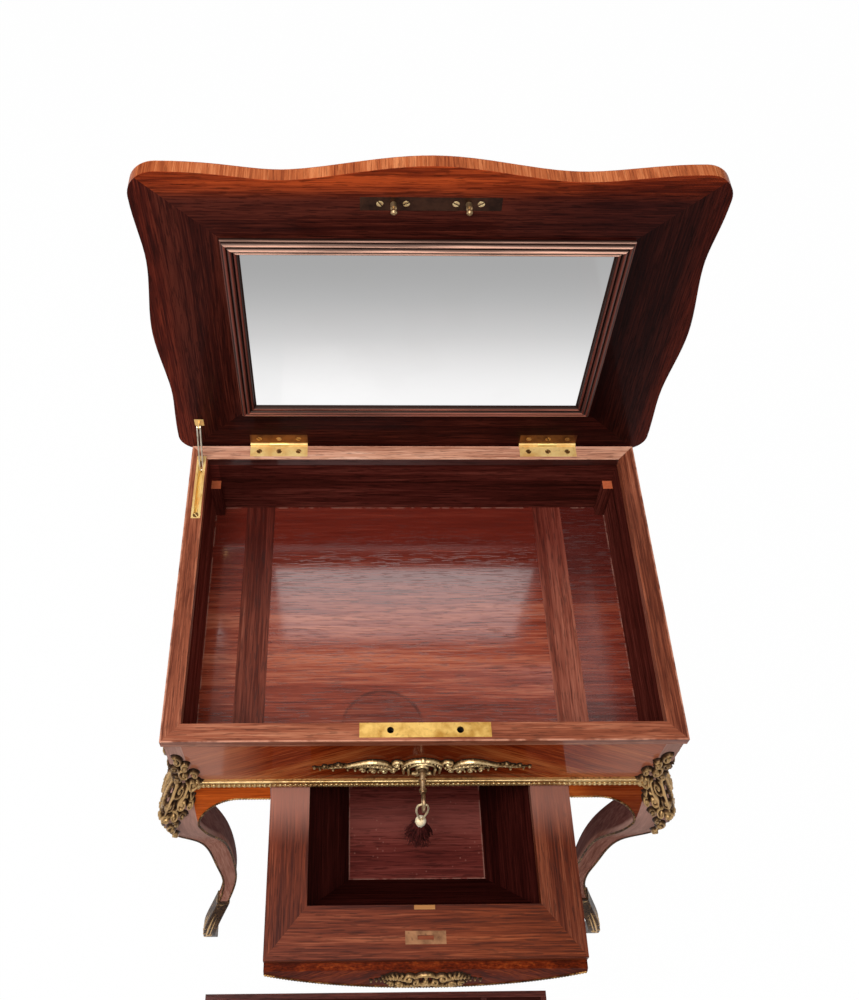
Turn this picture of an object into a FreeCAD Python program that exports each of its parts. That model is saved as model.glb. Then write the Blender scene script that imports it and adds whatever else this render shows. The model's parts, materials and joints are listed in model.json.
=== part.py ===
import FreeCAD, Part
import math
import os
import Sketcher

# A small work table in the Louis XV style, lid up, drawer pulled out, tray taken out.
# Frame: X to the right, Y to the back, Z up. The origin is on the floor under the carcase's middle.

Vector = FreeCAD.Vector
doc = FreeCAD.newDocument("WorkTable")
sheet = doc.addObject("Spreadsheet::Sheet", "Sizes")

# Driving sizes in millimetres: name, value, meaning.
driving_sizes = [
    ("carcase_width", 543, "rim, left to right"),
    ("carcase_depth", 381, "rim, front to back"),
    ("rim_height", 700, "floor to the top of the rim"),
    ("rim_width", 20, "rim, inner edge to outer edge"),
    ("rim_thickness", 12, "rim, top to bottom"),
    ("rim_proud", 2, "rim beyond the walls"),
    ("compartment_depth", 104, "rim top to compartment floor"),
    ("floor_thickness", 10, "compartment floor"),
    ("band_width", 36, "cross bands let into the floor"),
    ("band_thickness", 3, "cross bands let into the floor"),
    ("band_left", 40, "left wall to the left band"),
    ("band_right", 57, "right wall to the right band"),
    ("post_size", 12, "tray posts, square"),
    ("post_drop", 45, "rim top to the tops of the tray posts"),
    ("knee_drop", 86, "bottom of the box to the knee"),
    ("knee_out", 20, "knee beyond the rim's plan"),
    ("knee_width", 39, "leg at the knee"),
    ("shin_in", 3, "shin inside the rim's plan, midway from knee to ankle"),
    ("shin_width", 30, "leg at the shin"),
    ("ankle_height", 235, "height of the ankle"),
    ("ankle_in", 10.5, "ankle inside the rim's plan"),
    ("ankle_width", 24, "leg at the ankle"),
    ("heel_height", 99, "height of the heel"),
    ("heel_out", 0.5, "heel beyond the rim's plan"),
    ("heel_width", 13, "leg at the heel"),
    ("toe_height", 24, "height of the toe's tip"),
    ("toe_out", 27, "toe beyond the rim's plan"),
    ("toe_width", 13, "leg at the toe's tip"),
    ("toe_tuck", 3, "sole inside the toe's tip"),
    ("sole_width", 11, "leg at the floor"),
    ("apron_depth", 25, "bottom of the box to the tops of the apron arches"),
    ("arch_run", 52, "apron arch, along the apron"),
    ("apron_flat", 34, "front apron between its arch and the drawer"),
    ("back_drop", 30, "middle of the back apron below its arches"),
    ("side_drop", 18, "middle of a side apron below its arches"),
    ("sabot_height", 100, "cast shoes"),
    ("sabot_wall", 2.5, "cast shoes, wall"),
    ("sabot_sole", 3, "cast shoes, sole"),
    ("mount_drop", 38, "rim top to the top of a corner mount"),
    ("mount_length", 195, "corner mount, top to bottom"),
    ("mount_proud", 4.5, "corner mount, thickness"),
    ("mount_top_width", 15, "corner mount, at its top"),
    ("mount_middle_width", 20, "corner mount, at its widest"),
    ("mount_middle", 77, "top of a corner mount to its widest"),
    ("mount_waist_width", 28, "corner mount, below the box"),
    ("mount_waist", 122, "top of a corner mount to its waist"),
    ("mount_tip_width", 11, "corner mount, at its tip"),
    ("strip_height", 8, "frieze moulding"),
    ("strip_proud", 4, "frieze moulding"),
    ("strip_gap", 1, "frieze moulding to the corner mounts"),
    ("escutcheon_width", 236, "key escutcheon"),
    ("escutcheon_height", 58, "key escutcheon"),
    ("escutcheon_proud", 4, "key escutcheon"),
    ("hinge_offset", 2.7, "hinge axis behind the rim"),
    ("lid_gap", 0.3, "lid above the rim when closed"),
    ("lid_thickness", 17, "lid board"),
    ("lid_over_side", 15.5, "lid's front corners beyond the rim's side"),
    ("lid_over_front", 23, "lid's front corners beyond the rim's front"),
    ("lid_over_back", 9, "lid's back edge beyond the hinge axis"),
    ("lid_corner", 28, "radius of the lid's front corners"),
    ("lid_back_corner", 25, "radius of the lid's back corners"),
    ("lid_front_dip", 9, "lid's front edge, its two hollows"),
    ("lid_front_bulge", 8, "lid's front edge, its middle swell"),
    ("lid_side_dip", 5, "lid's side edges, their hollows"),
    ("lid_side_bulge", 4.5, "lid's side edges, their swell"),
    ("mirror_side", 81, "lid's side to the mirror moulding"),
    ("mirror_foot", 60, "hinge axis to the mirror moulding"),
    ("mirror_head", 35, "mirror moulding to the link plate"),
    ("glass_thickness", 3, "mirror glass"),
    ("moulding_width", 18.5, "mirror moulding"),
    ("moulding_proud", 9, "mirror moulding"),
    ("rabbet_width", 5, "mirror moulding's lap over the glass"),
    ("hinge_length", 70, "hinge leaf, along the axis"),
    ("hinge_margin", 4.2, "hinge leaf to the rim's inner edge"),
    ("hinge_inset", 106, "rim's side to the middle of a hinge"),
    ("leaf_thickness", 1.8, "hinge leaf"),
    ("knuckle_radius", 2.4, "hinge knuckle"),
    ("pin_radius", 1.2, "hinge pin"),
    ("running_clearance", 0.05, "pin in its bore, radial"),
    ("plate_sink", 0.1, "let-in plates below the wood"),
    ("screw_head", 2.4, "screw head radius"),
    ("screw_shank", 1.2, "screw shank radius"),
    ("screw_length", 9, "screw, under the plate"),
    ("screw_spacing", 24, "hinge screws, along the leaf"),
    ("screw_clearance", 0.1, "screws in their holes"),
    ("lock_margin", 4, "rim's front edge to the lock plate"),
    ("lock_plate_lap", 12, "lock plate beyond the lock case, at each end"),
    ("lock_plate_edge", 2.5, "lock plate beyond the lock case, front and back"),
    ("lock_plate_thickness", 2, "lock plate, link plate and stay plate"),
    ("lock_case_length", 112, "lock case"),
    ("lock_case_wall", 1.2, "lock case"),
    ("lock_foot", 12, "compartment floor to the bottom of the lock case"),
    ("stud_inset", 20, "end of the lock case to a link stud"),
    ("stud_radius", 3, "link studs"),
    ("stud_length", 14.5, "link studs"),
    ("stud_neck", 1.5, "link studs, neck radius"),
    ("stud_head", 3.4, "link studs, length of the head"),
    ("stud_neck_length", 4.6, "link studs, length of the neck"),
    ("stud_clearance", 0.6, "link studs in the lock"),
    ("bolt_thickness", 3, "lock bolt"),
    ("bolt_throw", 8, "lock bolt's travel"),
    ("bolt_slack", 0.4, "lock bolt in its case"),
    ("key_rise", 17, "bottom of the lock case to the key's axis"),
    ("key_reach", 37.5, "rim's front to the middle of the key's bow"),
    ("key_radius", 2.6, "key shank"),
    ("collar_radius", 4.2, "key's collar"),
    ("collar_length", 2.6, "key's collar, and from the bow to it"),
    ("bit_reach", 8.6, "key's axis to the end of its bit"),
    ("bit_thickness", 1.8, "key's bit"),
    ("key_slack", 0.4, "key in its hole"),
    ("bow_radius", 9, "key's bow, middle of its wire"),
    ("bow_wire", 1.8, "key's bow, wire radius"),
    ("cord_radius", 1, "tassel's cord"),
    ("cord_loop", 3.3, "tassel's cord, middle of its loop"),
    ("cord_length", 50, "bow's wire to the tassel's ball"),
    ("tassel_ball", 5.8, "tassel's ball, radius"),
    ("tassel_neck", 4.6, "tassel's collar, radius"),
    ("tassel_collar", 2.9, "tassel's collar, height"),
    ("tassel_clear", 58, "well's base to the tassel's hem"),
    ("tassel_radius", 17, "tassel's skirt, radius at its hem"),
    ("tassel_lean", 1, "tassel's hem to the right of the key"),
    ("stay_edge", 2, "slotted stay plate to the rim's inner edge"),
    ("stay_rise", 42, "hinge axis to the stay's pivot, up the lid"),
    ("stay_proud", 7, "lid to the stay's pivot"),
    ("stay_seat", 33, "hinge axis to the stay's lower pin, lid open"),
    ("stay_drop", 8, "rim top to the stay's lower pin"),
    ("stay_bar", 1.5, "stay bars, thickness"),
    ("stay_bar_radius", 2, "stay bars, half their height"),
    ("stay_pin", 1.1, "stay pins, radius"),
    ("stay_slack", 0.3, "stay bars beside their lug and slot"),
    ("stay_slot_front", 4, "slot before the stay's lower pin, lid closed"),
    ("stay_slot_back", 8, "slot behind the stay's lower pin, lid open"),
    ("stay_slot_depth", 6, "slot under the stay's lower pin"),
    ("stay_bracket_height", 12, "stay's bracket on the lid"),
    ("stay_plate_width", 11, "slotted stay plate and the stay's bracket"),
    ("stay_plate_margin", 7, "slotted stay plate past its slot"),
    ("drawer_pull", 182, "how far the drawer is pulled out"),
    ("drawer_drop", 7, "bottom of the box to the drawer's top"),
    ("drawer_gap", 1.2, "drawer in its opening"),
    ("drawer_back_gap", 2, "closed drawer to the back apron"),
    ("rail_thickness", 12, "drawer rails"),
    ("rail_width", 43, "drawer's side and back rails"),
    ("front_rail_width", 52.5, "drawer's front rail"),
    ("drawer_front_thickness", 12, "drawer front, at its top"),
    ("drawer_front_end", 18, "drawer's top to the front's lower edge, at its ends"),
    ("drawer_front_middle", 44, "drawer's top to the front's lower edge, in the middle"),
    ("well_depth", 119, "drawer's top to the well's base"),
    ("well_side_slope", 42.8, "well's sides, drawn in at the base"),
    ("well_end_slope", 58.6, "well's ends, drawn in at the base"),
    ("well_wall", 8, "well boards"),
    ("runner_thickness", 11, "drawer runner below the rails"),
    ("runner_slack", 0.4, "drawer rails in their runners"),
    ("runner_guide", 11, "drawer runner beside the rails"),
    ("runner_gap", 5.4, "well boards to the runners"),
    ("strike_length", 42, "drawer's strike plate"),
    ("strike_width", 13, "drawer's strike plate"),
    ("strike_thickness", 1.4, "drawer's strike plate"),
    ("strike_setback", 20.5, "drawer's front edge to the middle of the strike plate"),
    ("front_mount_width", 116, "mount on the drawer front"),
    ("front_mount_height", 27, "mount on the drawer front"),
    ("front_mount_proud", 4, "mount on the drawer front"),
    ("tray_slack", 4, "tray in the compartment, each side"),
    ("tray_height", 43, "tray"),
    ("tray_wall", 8, "tray sides and dividers"),
    ("tray_base_thickness", 5, "tray base"),
    ("tray_left", 41, "middle of the tray to the left of the table's middle"),
    ("tray_front", 305, "tray's far side in front of the table's middle"),
    ("tray_lane", 78, "tray's narrow lanes"),
]
for row, (name, value, meaning) in enumerate(driving_sizes, 1):
    sheet.set(f"A{row}", meaning)
    sheet.set(f"B{row}", str(value))
    sheet.setAlias(f"B{row}", name)
doc.recompute()


def as_size(thing):
    if isinstance(thing, Size):
        return thing
    return Size(f"({float(thing)})", float(thing))


class Size:
    # A length, with the sheet expression that gives it.
    def __init__(self, text, value):
        self.text = text
        self.value = value

    def __float__(self):
        return self.value

    def __neg__(self):
        return Size(f"(-{self.text})", -self.value)

    def __add__(self, other):
        other = as_size(other)
        return Size(f"({self.text} + {other.text})", self.value + other.value)

    def __sub__(self, other):
        other = as_size(other)
        return Size(f"({self.text} - {other.text})", self.value - other.value)

    def __mul__(self, other):
        other = as_size(other)
        return Size(f"({self.text} * {other.text})", self.value * other.value)

    def __truediv__(self, other):
        other = as_size(other)
        return Size(f"({self.text} / {other.text})", self.value / other.value)

    def __radd__(self, other):
        return as_size(other) + self

    def __rsub__(self, other):
        return as_size(other) - self

    def __rmul__(self, other):
        return as_size(other) * self


class Sizes:
    pass


s = Sizes()
for name, value, meaning in driving_sizes:
    setattr(s, name, Size(f"Sizes.{name}", float(sheet.get(name))))

# Places that several pieces share.
half_width = s.carcase_width / 2
half_depth = s.carcase_depth / 2
wall_outer_x = half_width - s.rim_proud
wall_outer_y = half_depth - s.rim_proud
inner_x = half_width - s.rim_width
inner_y = half_depth - s.rim_width
wall_top = s.rim_height - s.rim_thickness
floor_top = s.rim_height - s.compartment_depth
box_bottom = floor_top - s.floor_thickness
knee_height = box_bottom - s.knee_drop
arch_top = box_bottom - s.apron_depth
arch_rise = s.knee_drop - s.apron_depth
shin_height = (knee_height + s.ankle_height) / 2
leg_joint = s.knee_width - s.knee_out
drawer_top = box_bottom - s.drawer_drop
rail_bottom = drawer_top - s.rail_thickness
opening_top = drawer_top + s.drawer_gap
opening_half = half_width - leg_joint - s.arch_run - s.apron_flat
drawer_half = opening_half - s.drawer_gap
hinge_y = half_depth + s.hinge_offset
lid_face = hinge_y + s.lid_gap
sink_top = s.rim_height - s.plate_sink
lock_plate_width = s.rim_width - s.lock_margin
lock_y = -inner_y - lock_plate_width / 2
lock_case_bottom = floor_top + s.lock_foot
key_height = lock_case_bottom + s.key_rise
key_y = -half_depth - s.key_reach
stay_x = -inner_x - s.stay_edge - s.stay_plate_width / 2
well_base_z = drawer_top - s.well_depth

nodes = {}


def keep(name, thing):
    thing.Label = name
    nodes[name] = thing
    return thing


def place(thing, x, y, z):
    for axis, value in zip("xyz", (x, y, z)):
        thing.setExpression(f"Placement.Base.{axis}", as_size(value).text)


def box(name, x, y, z):
    thing = doc.addObject("Part::Box", name)
    for side, (low, high) in zip(("Length", "Width", "Height"), (x, y, z)):
        thing.setExpression(side, (as_size(high) - low).text)
    place(thing, x[0], y[0], z[0])
    return thing


turned_to = {
    "x": FreeCAD.Rotation(Vector(0, 1, 0), 90),
    "y": FreeCAD.Rotation(Vector(1, 0, 0), -90),
    "z": FreeCAD.Rotation(),
}


def cylinder(name, radius, length, axis, x, y, z):
    thing = doc.addObject("Part::Cylinder", name)
    thing.setExpression("Radius", as_size(radius).text)
    thing.setExpression("Height", as_size(length).text)
    thing.Placement = FreeCAD.Placement(Vector(), turned_to[axis])
    place(thing, x, y, z)
    return thing


def ring(name, radius, wire, axis, x, y, z):
    thing = doc.addObject("Part::Torus", name)
    thing.setExpression("Radius1", as_size(radius).text)
    thing.setExpression("Radius2", as_size(wire).text)
    thing.Placement = FreeCAD.Placement(Vector(), turned_to[axis])
    place(thing, x, y, z)
    return thing


def join(name, things):
    thing = doc.addObject("Part::MultiFuse", name)
    thing.Shapes = things
    return thing


def group(name, things):
    thing = doc.addObject("Part::Compound", name)
    thing.Links = things
    return thing


def cut(name, base, tools):
    thing = doc.addObject("Part::Cut", name)
    thing.Base = base
    thing.Tool = tools[0] if len(tools) == 1 else join(f"{name}_tools", tools)
    return thing


def span(side, low, high):
    # The stretch from low to high on the side that the sign gives.
    return (low * side, high * side) if side > 0 else (high * side, low * side)


def feature(name, shape):
    thing = doc.addObject("Part::Feature", name)
    thing.Shape = shape
    return thing


def start_sketch(body, name, role):
    sketch = body.newObject("Sketcher::SketchObject", name)
    plane = [part for part in body.Origin.OriginFeatures if part.Role == role][0]
    sketch.AttachmentSupport = [(plane, "")]
    sketch.MapMode = "FlatFace"
    return sketch


def bind_point(sketch, line, point, x, y):
    for kind, value in (("DistanceX", x), ("DistanceY", y)):
        value = as_size(value)
        number = sketch.addConstraint(Sketcher.Constraint(kind, -1, 1, line, point, value.value))
        sketch.setExpression(f"Constraints[{number}]", value.text)


def draw_polygon(sketch, corners):
    first = sketch.GeometryCount
    count = len(corners)
    for i in range(count):
        a, b = corners[i], corners[(i + 1) % count]
        start = Vector(float(a[0]), float(a[1]), 0)
        end = Vector(float(b[0]), float(b[1]), 0)
        sketch.addGeometry(Part.LineSegment(start, end))
    for i in range(count):
        sketch.addConstraint(Sketcher.Constraint("Coincident", first + i, 2, first + (i + 1) % count, 1))
        bind_point(sketch, first + i, 1, *corners[i])


def draw_circle(sketch, x, y, radius):
    number = sketch.GeometryCount
    centre = Vector(float(x), float(y), 0)
    sketch.addGeometry(Part.Circle(centre, Vector(0, 0, 1), float(radius)))
    bind_point(sketch, number, 3, x, y)
    bound = sketch.addConstraint(Sketcher.Constraint("Radius", number, float(radius)))
    sketch.setExpression(f"Constraints[{bound}]", as_size(radius).text)


def padded(name, role, outlines, circles, thickness, x, y, z):
    # A board or plate: an outline with its openings, padded by its thickness.
    body = doc.addObject("PartDesign::Body", name)
    sketch = start_sketch(body, f"{name}_outline", role)
    for outline in outlines:
        draw_polygon(sketch, outline)
    for circle in circles:
        draw_circle(sketch, *circle)
    pad = body.newObject("PartDesign::Pad", f"{name}_pad")
    pad.Profile = sketch
    pad.setExpression("Length", as_size(thickness).text)
    place(body, x, y, z)
    return body


def revolved(name, role, profile, x, y, z):
    # A turned piece: its half profile about the sketch's upright axis.
    body = doc.addObject("PartDesign::Body", name)
    sketch = start_sketch(body, f"{name}_profile", role)
    draw_polygon(sketch, profile)
    turn = body.newObject("PartDesign::Revolution", f"{name}_turn")
    turn.Profile = sketch
    turn.ReferenceAxis = (sketch, ["V_Axis"])
    turn.Angle = 360
    place(body, x, y, z)
    return body


def rectangle(x0, x1, y0, y1):
    return [(x0, y0), (x1, y0), (x1, y1), (x0, y1)]


# Curved work: plain numbers from the same sizes.

def spline(points):
    curve = Part.BSplineCurve()
    curve.interpolate(points)
    return curve.toShape()


def line(a, b):
    return Part.LineSegment(a, b).toShape()


def lines(points):
    # Straight edges through the points, where two that fall together count as one.
    return [line(a, b) for a, b in zip(points, points[1:]) if a.distanceToPoint(b) > 1e-6]


def prism(edges, way):
    return Part.Face(Part.Wire(edges)).extrude(way)


leg_rows = [
    (knee_height, -s.knee_out, s.knee_width),
    (shin_height, s.shin_in, s.shin_width),
    (s.ankle_height, s.ankle_in, s.ankle_width),
    (s.heel_height, -s.heel_out, s.heel_width),
    (s.toe_height, -s.toe_out, s.toe_width),
    (as_size(0), s.toe_tuck - s.toe_out, s.sole_width),
]
# How far past the corner the sawing outlines reach.
far = 90.0


def outer_points(shift):
    # The swelling outer line of the frieze and legs, as inset and height, from the box down.
    rows = [(float(s.rim_proud), float(box_bottom))]
    rows += [(float(inset), float(height)) for height, inset, width in leg_rows]
    return [(inset - shift, height) for inset, height in rows]


def inner_points(shift):
    return [(float(inset) + float(width) + shift, float(height)) for height, inset, width in leg_rows]


def corner_solid(make_edges):
    # Two matching outlines, sawn from the front and from the side, at the front left corner.
    left, front = -float(half_width), -float(half_depth)
    across = prism(make_edges(lambda inset, height: Vector(left + inset, front - far, height)),
                   Vector(0, 2 * far, 0))
    along = prism(make_edges(lambda inset, height: Vector(left - far, front + inset, height)),
                  Vector(2 * far, 0, 0))
    return across.common(along)


def leg_edges(at):
    outer = [at(*p) for p in outer_points(0)]
    inner = [at(*p) for p in inner_points(0)]
    top = float(wall_top)
    shelf = float(box_bottom)
    stile_out, stile_in = float(s.rim_proud), float(s.rim_width)
    stile = lines([outer[0], at(stile_out, top), at(stile_in, top), at(stile_in, shelf),
                   at(float(leg_joint), shelf), inner[0]])
    return [spline(outer), *stile, spline(inner), line(inner[-1], outer[-1])]


def sabot_edges(at):
    wall = float(s.sabot_wall)
    outer = [at(*p) for p in outer_points(wall)]
    inner = [at(*p) for p in inner_points(wall)]
    top_corner = at(float(leg_joint) + wall, float(box_bottom))
    return [spline(outer), *lines([outer[0], top_corner, inner[0]]), spline(inner),
            line(inner[-1], outer[-1])]


def solid_corner_edges(shift):
    # Everything inside the outer line, up to the rim.
    def edges(at):
        outer = [at(*p) for p in outer_points(shift)]
        top = at(float(s.rim_proud) - shift, float(s.rim_height))
        return [spline(outer), *lines([outer[0], top, at(far, float(s.rim_height)), at(far, 0), outer[-1]])]
    return edges


def mount_mask_edges(at):
    # The corner mount's leafy outline on one face of the corner.
    top = float(s.rim_height - s.mount_drop)
    tip = top - float(s.mount_length)
    knee = -float(s.knee_out)
    inner = [at(float(s.mount_top_width), top),
             at(float(s.mount_middle_width), top - float(s.mount_middle)),
             at(knee + float(s.mount_waist_width), top - float(s.mount_waist)),
             at(knee + float(s.mount_tip_width), tip)]
    outside = -far / 2
    return [spline(inner), *lines([inner[-1], at(outside, tip), at(outside, top), inner[0]])]


def slab(low, high):
    side = 4 * max(float(half_width), float(half_depth))
    shape = Part.makeBox(side, side, float(high) - float(low))
    shape.translate(Vector(-side / 2, -side / 2, float(low)))
    return shape


corners = [("front_left", 1, 1), ("front_right", -1, 1), ("back_left", 1, -1), ("back_right", -1, -1)]


def to_corner(shape, across, along):
    # The front left shape, mirrored to another corner.
    if across < 0:
        shape = shape.mirror(Vector(), Vector(1, 0, 0))
    if along < 0:
        shape = shape.mirror(Vector(), Vector(0, 1, 0))
    return shape


full_leg = corner_solid(leg_edges)
leg = full_leg.common(slab(s.sabot_sole, s.rim_height))
sabot = corner_solid(sabot_edges).common(slab(0, s.sabot_height)).cut(leg)
mount = corner_solid(solid_corner_edges(float(s.mount_proud))).common(corner_solid(mount_mask_edges))
mount = mount.cut(corner_solid(solid_corner_edges(0.0)))

for name, across, along in corners:
    keep(f"leg_{name}", feature(f"leg_{name}", to_corner(leg, across, along)))
for name, shape in (("sabots", sabot), ("corner_mounts", mount)):
    keep(name, feature(name, Part.Compound([to_corner(shape, a, b) for _, a, b in corners])))


# The frieze below the box: its outline is sawn in the length, its face swells like the legs.

def frieze_profile(half, shift, inner):
    front = -half
    outer = [Vector(0, front + inset, height) for inset, height in outer_points(shift)]
    back_top = Vector(0, front + inner, float(box_bottom))
    back_foot = Vector(0, front + inner, 0)
    return [spline(outer), *lines([outer[0], back_top, back_foot, outer[-1]])]


def frieze_piece(outline, half, shift, inner):
    # outline: edges in the XZ plane; half: half the depth that the piece stands at.
    long = 2 * (float(half_width) + far)
    swelling = prism(frieze_profile(half, shift, inner), Vector(long, 0, 0))
    swelling.translate(Vector(-long / 2, 0, 0))
    sawn = prism(outline, Vector(0, 2 * far, 0))
    sawn.translate(Vector(0, -half - far, 0))
    return sawn.common(swelling)


def to_sides(shape):
    # A shape made at the front, turned to the left and to the right.
    copies = []
    for turn in (-90, 90):
        copy = shape.copy()
        copy.rotate(Vector(), Vector(0, 0, 1), turn)
        copies.append(copy)
    return copies


def flat(x, z):
    return Vector(float(x), 0, float(z))


def arch(end, side):
    # A quarter ellipse from the leg at the knee up to the apron's lower edge.
    centre = flat(end + float(s.arch_run) * side, knee_height)
    springing = flat(end, knee_height)
    crown = flat(centre.x, arch_top)
    if s.arch_run.value >= arch_rise.value:
        curve = Part.Ellipse(springing, crown, centre)
    else:
        curve = Part.Ellipse(crown, springing, centre)
    a, b = sorted((curve.parameter(springing), curve.parameter(crown)))
    if b - a > math.pi:
        a, b = b, a + 2 * math.pi
    return curve.toShape(a, b), springing, crown


def apron_outline(half_length, top, drop):
    # A whole apron: two arches with a drop between them.
    end = half_length - float(leg_joint)
    left_arch, left_foot, left_crown = arch(-end, 1)
    right_arch, right_foot, right_crown = arch(end, -1)
    middle = flat(0, float(arch_top) - drop)
    return [left_arch, Part.Arc(left_crown, middle, right_crown).toShape(), right_arch,
            *lines([right_foot, flat(end, top), flat(-end, top), left_foot])]


def front_apron_outline():
    end = float(half_width) - float(leg_joint)
    left_arch, foot, crown = arch(-end, 1)
    return [left_arch, *lines([crown, flat(-opening_half, arch_top), flat(-opening_half, opening_top),
                               flat(-end, opening_top), foot])]


def flat_outline(corner_points):
    points = [flat(*p) for p in corner_points]
    return lines(points + points[:1])


apron_inner = float(leg_joint)
rail_end = half_width - leg_joint
front_apron = frieze_piece(front_apron_outline(), float(half_depth), 0.0, apron_inner)
keep("front_aprons", feature("front_aprons", Part.Compound([front_apron, to_corner(front_apron, -1, 1)])))
rail_outline = flat_outline(rectangle(-rail_end, rail_end, opening_top, box_bottom))
keep("front_rail", feature("front_rail", frieze_piece(rail_outline, float(half_depth), 0.0, apron_inner)))
back = keep("back_apron", feature("back_apron", frieze_piece(
    apron_outline(float(half_width), box_bottom, float(s.back_drop)), float(half_depth), 0.0, apron_inner)))
back.Placement = FreeCAD.Placement(Vector(), FreeCAD.Rotation(Vector(0, 0, 1), 180))
side_apron = frieze_piece(apron_outline(float(half_depth), box_bottom, float(s.side_drop)),
                          float(half_width), 0.0, apron_inner)
keep("side_aprons", feature("side_aprons", Part.Compound(to_sides(side_apron))))

# Walls, floor and rim of the compartment.
wall_z = (box_bottom, wall_top)
lock_case_top = sink_top - s.lock_plate_thickness
lock_case_x = (-s.lock_case_length / 2, s.lock_case_length / 2)
lock_case_width = lock_plate_width - 2 * s.lock_plate_edge
lock_case_y = (lock_y - lock_case_width / 2, lock_y + lock_case_width / 2)
case_mortise = (lock_case_x, lock_case_y, (lock_case_bottom, s.rim_height))
key_hole = s.key_radius + s.key_slack

keep("front_panel", cut("front_panel", box("front_panel_blank", (-inner_x, inner_x),
                                           (-wall_outer_y, -inner_y), wall_z), [
    box("front_panel_mortise", *case_mortise),
    cylinder("front_panel_keyhole", key_hole, half_depth + lock_y, "y", 0, -half_depth, key_height),
]))
keep("back_panel", box("back_panel", (-inner_x, inner_x), (inner_y, wall_outer_y), wall_z))
keep("right_panel", box("right_panel", (inner_x, wall_outer_x), (-inner_y, inner_y), wall_z))

floor_z = (box_bottom, floor_top)
floor_blank = box("compartment_floor_blank", (-inner_x, inner_x), (-inner_y, inner_y), floor_z)
band_rows = [("left", s.band_left - inner_x), ("right", inner_x - s.band_right - s.band_width)]


def band(name, low):
    return box(name, (low, low + s.band_width), (-inner_y, inner_y),
               (floor_top - s.band_thickness, floor_top))


keep("compartment_floor", cut("compartment_floor", floor_blank,
                              [band(f"band_groove_{side}", x) for side, x in band_rows]))
keep("floor_bands", group("floor_bands", [band(f"floor_band_{side}", x) for side, x in band_rows]))

posts = []
for side in (-1, 1):
    for end in (-1, 1):
        posts.append(box(f"tray_post_{len(posts)}", span(side, inner_x - s.post_size, inner_x),
                         span(end, inner_y - s.post_size, inner_y),
                         (floor_top, s.rim_height - s.post_drop)))
keep("tray_posts", group("tray_posts", posts))


def rim_blank(name, corners_xy):
    return padded(name, "XY_Plane", [corners_xy], [], s.rim_thickness, 0, 0, wall_top)


def rim_ends(outer, inner, level_outer, level_inner, swap):
    corners_xy = [(-outer, level_outer), (outer, level_outer), (inner, level_inner), (-inner, level_inner)]
    return [(y, x) for x, y in corners_xy] if swap else corners_xy


# Hinges: two butts let into the back rim and the lid.
hinge_middles = [s.hinge_inset - half_width, half_width - s.hinge_inset]
leaf_edge = half_depth - s.plate_sink
leaf_front = inner_y + s.hinge_margin
third = s.hinge_length / 3
knuckle_gap = s.plate_sink
leaf_screws = [-s.screw_spacing, as_size(0), s.screw_spacing]
screw_y = (leaf_front + leaf_edge) / 2
leaf_z = (sink_top - s.leaf_thickness, sink_top)
lid_leaf_y = (lid_face + s.plate_sink, lid_face + s.plate_sink + s.leaf_thickness)
lid_leaf_z = (s.rim_height + s.knuckle_radius + s.plate_sink, s.rim_height + hinge_y - leaf_front)
lid_screw_z = (lid_leaf_z[0] + lid_leaf_z[1]) / 2


def hinge_parts(label, middle):
    # The leaf on the rim with two knuckles, the leaf on the lid with one, and the pin.
    low, high = middle - s.hinge_length / 2, middle + s.hinge_length / 2
    bore = cylinder(f"{label}_bore", s.pin_radius + s.running_clearance, s.hinge_length + 2, "x",
                    low - 1, hinge_y, s.rim_height)
    holes = [cylinder(f"{label}_rim_hole_{i}", s.screw_head + s.screw_clearance, s.rim_thickness, "z",
                      middle + offset, screw_y, wall_top) for i, offset in enumerate(leaf_screws)]
    pieces = [box(f"{label}_rim_plate", (low, high), (leaf_front, leaf_edge), leaf_z)]
    for i, start in enumerate((low, high - third + knuckle_gap)):
        x = (start, start + third - knuckle_gap)
        pieces.append(box(f"{label}_rim_web_{i}", x, (leaf_edge - s.plate_sink, hinge_y), leaf_z))
        pieces.append(cylinder(f"{label}_rim_knuckle_{i}", s.knuckle_radius, third - knuckle_gap, "x",
                               start, hinge_y, s.rim_height))
    rim_leaf = cut(f"{label}_rim_leaf", join(f"{label}_rim_leaf_solid", pieces), [bore] + holes)
    lid_holes = [cylinder(f"{label}_lid_hole_{i}", s.screw_head + s.screw_clearance, s.lid_thickness, "y",
                          middle + offset, lid_face, lid_screw_z) for i, offset in enumerate(leaf_screws)]
    inner = (low + third + knuckle_gap, high - third - knuckle_gap)
    lid_pieces = [
        box(f"{label}_lid_plate", (low, high), lid_leaf_y, lid_leaf_z),
        box(f"{label}_lid_web", inner, lid_leaf_y, (s.rim_height, lid_leaf_z[0] + s.plate_sink)),
        cylinder(f"{label}_lid_knuckle", s.knuckle_radius, inner[1] - inner[0], "x",
                 inner[0], hinge_y, s.rim_height),
    ]
    lid_leaf = cut(f"{label}_lid_leaf", join(f"{label}_lid_leaf_solid", lid_pieces), [bore] + lid_holes)
    pin = cylinder(f"{label}_pin", s.pin_radius, s.hinge_length, "x", low, hinge_y, s.rim_height)
    return rim_leaf, lid_leaf, pin


hinges = [hinge_parts(f"hinge_{i}", middle) for i, middle in enumerate(hinge_middles)]
keep("hinge_leaves_rim", group("hinge_leaves_rim", [rim_leaf for rim_leaf, _, _ in hinges]))
keep("hinge_leaves_lid", group("hinge_leaves_lid", [lid_leaf for _, lid_leaf, _ in hinges]))
keep("hinge_pins", group("hinge_pins", [pin for _, _, pin in hinges]))


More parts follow.
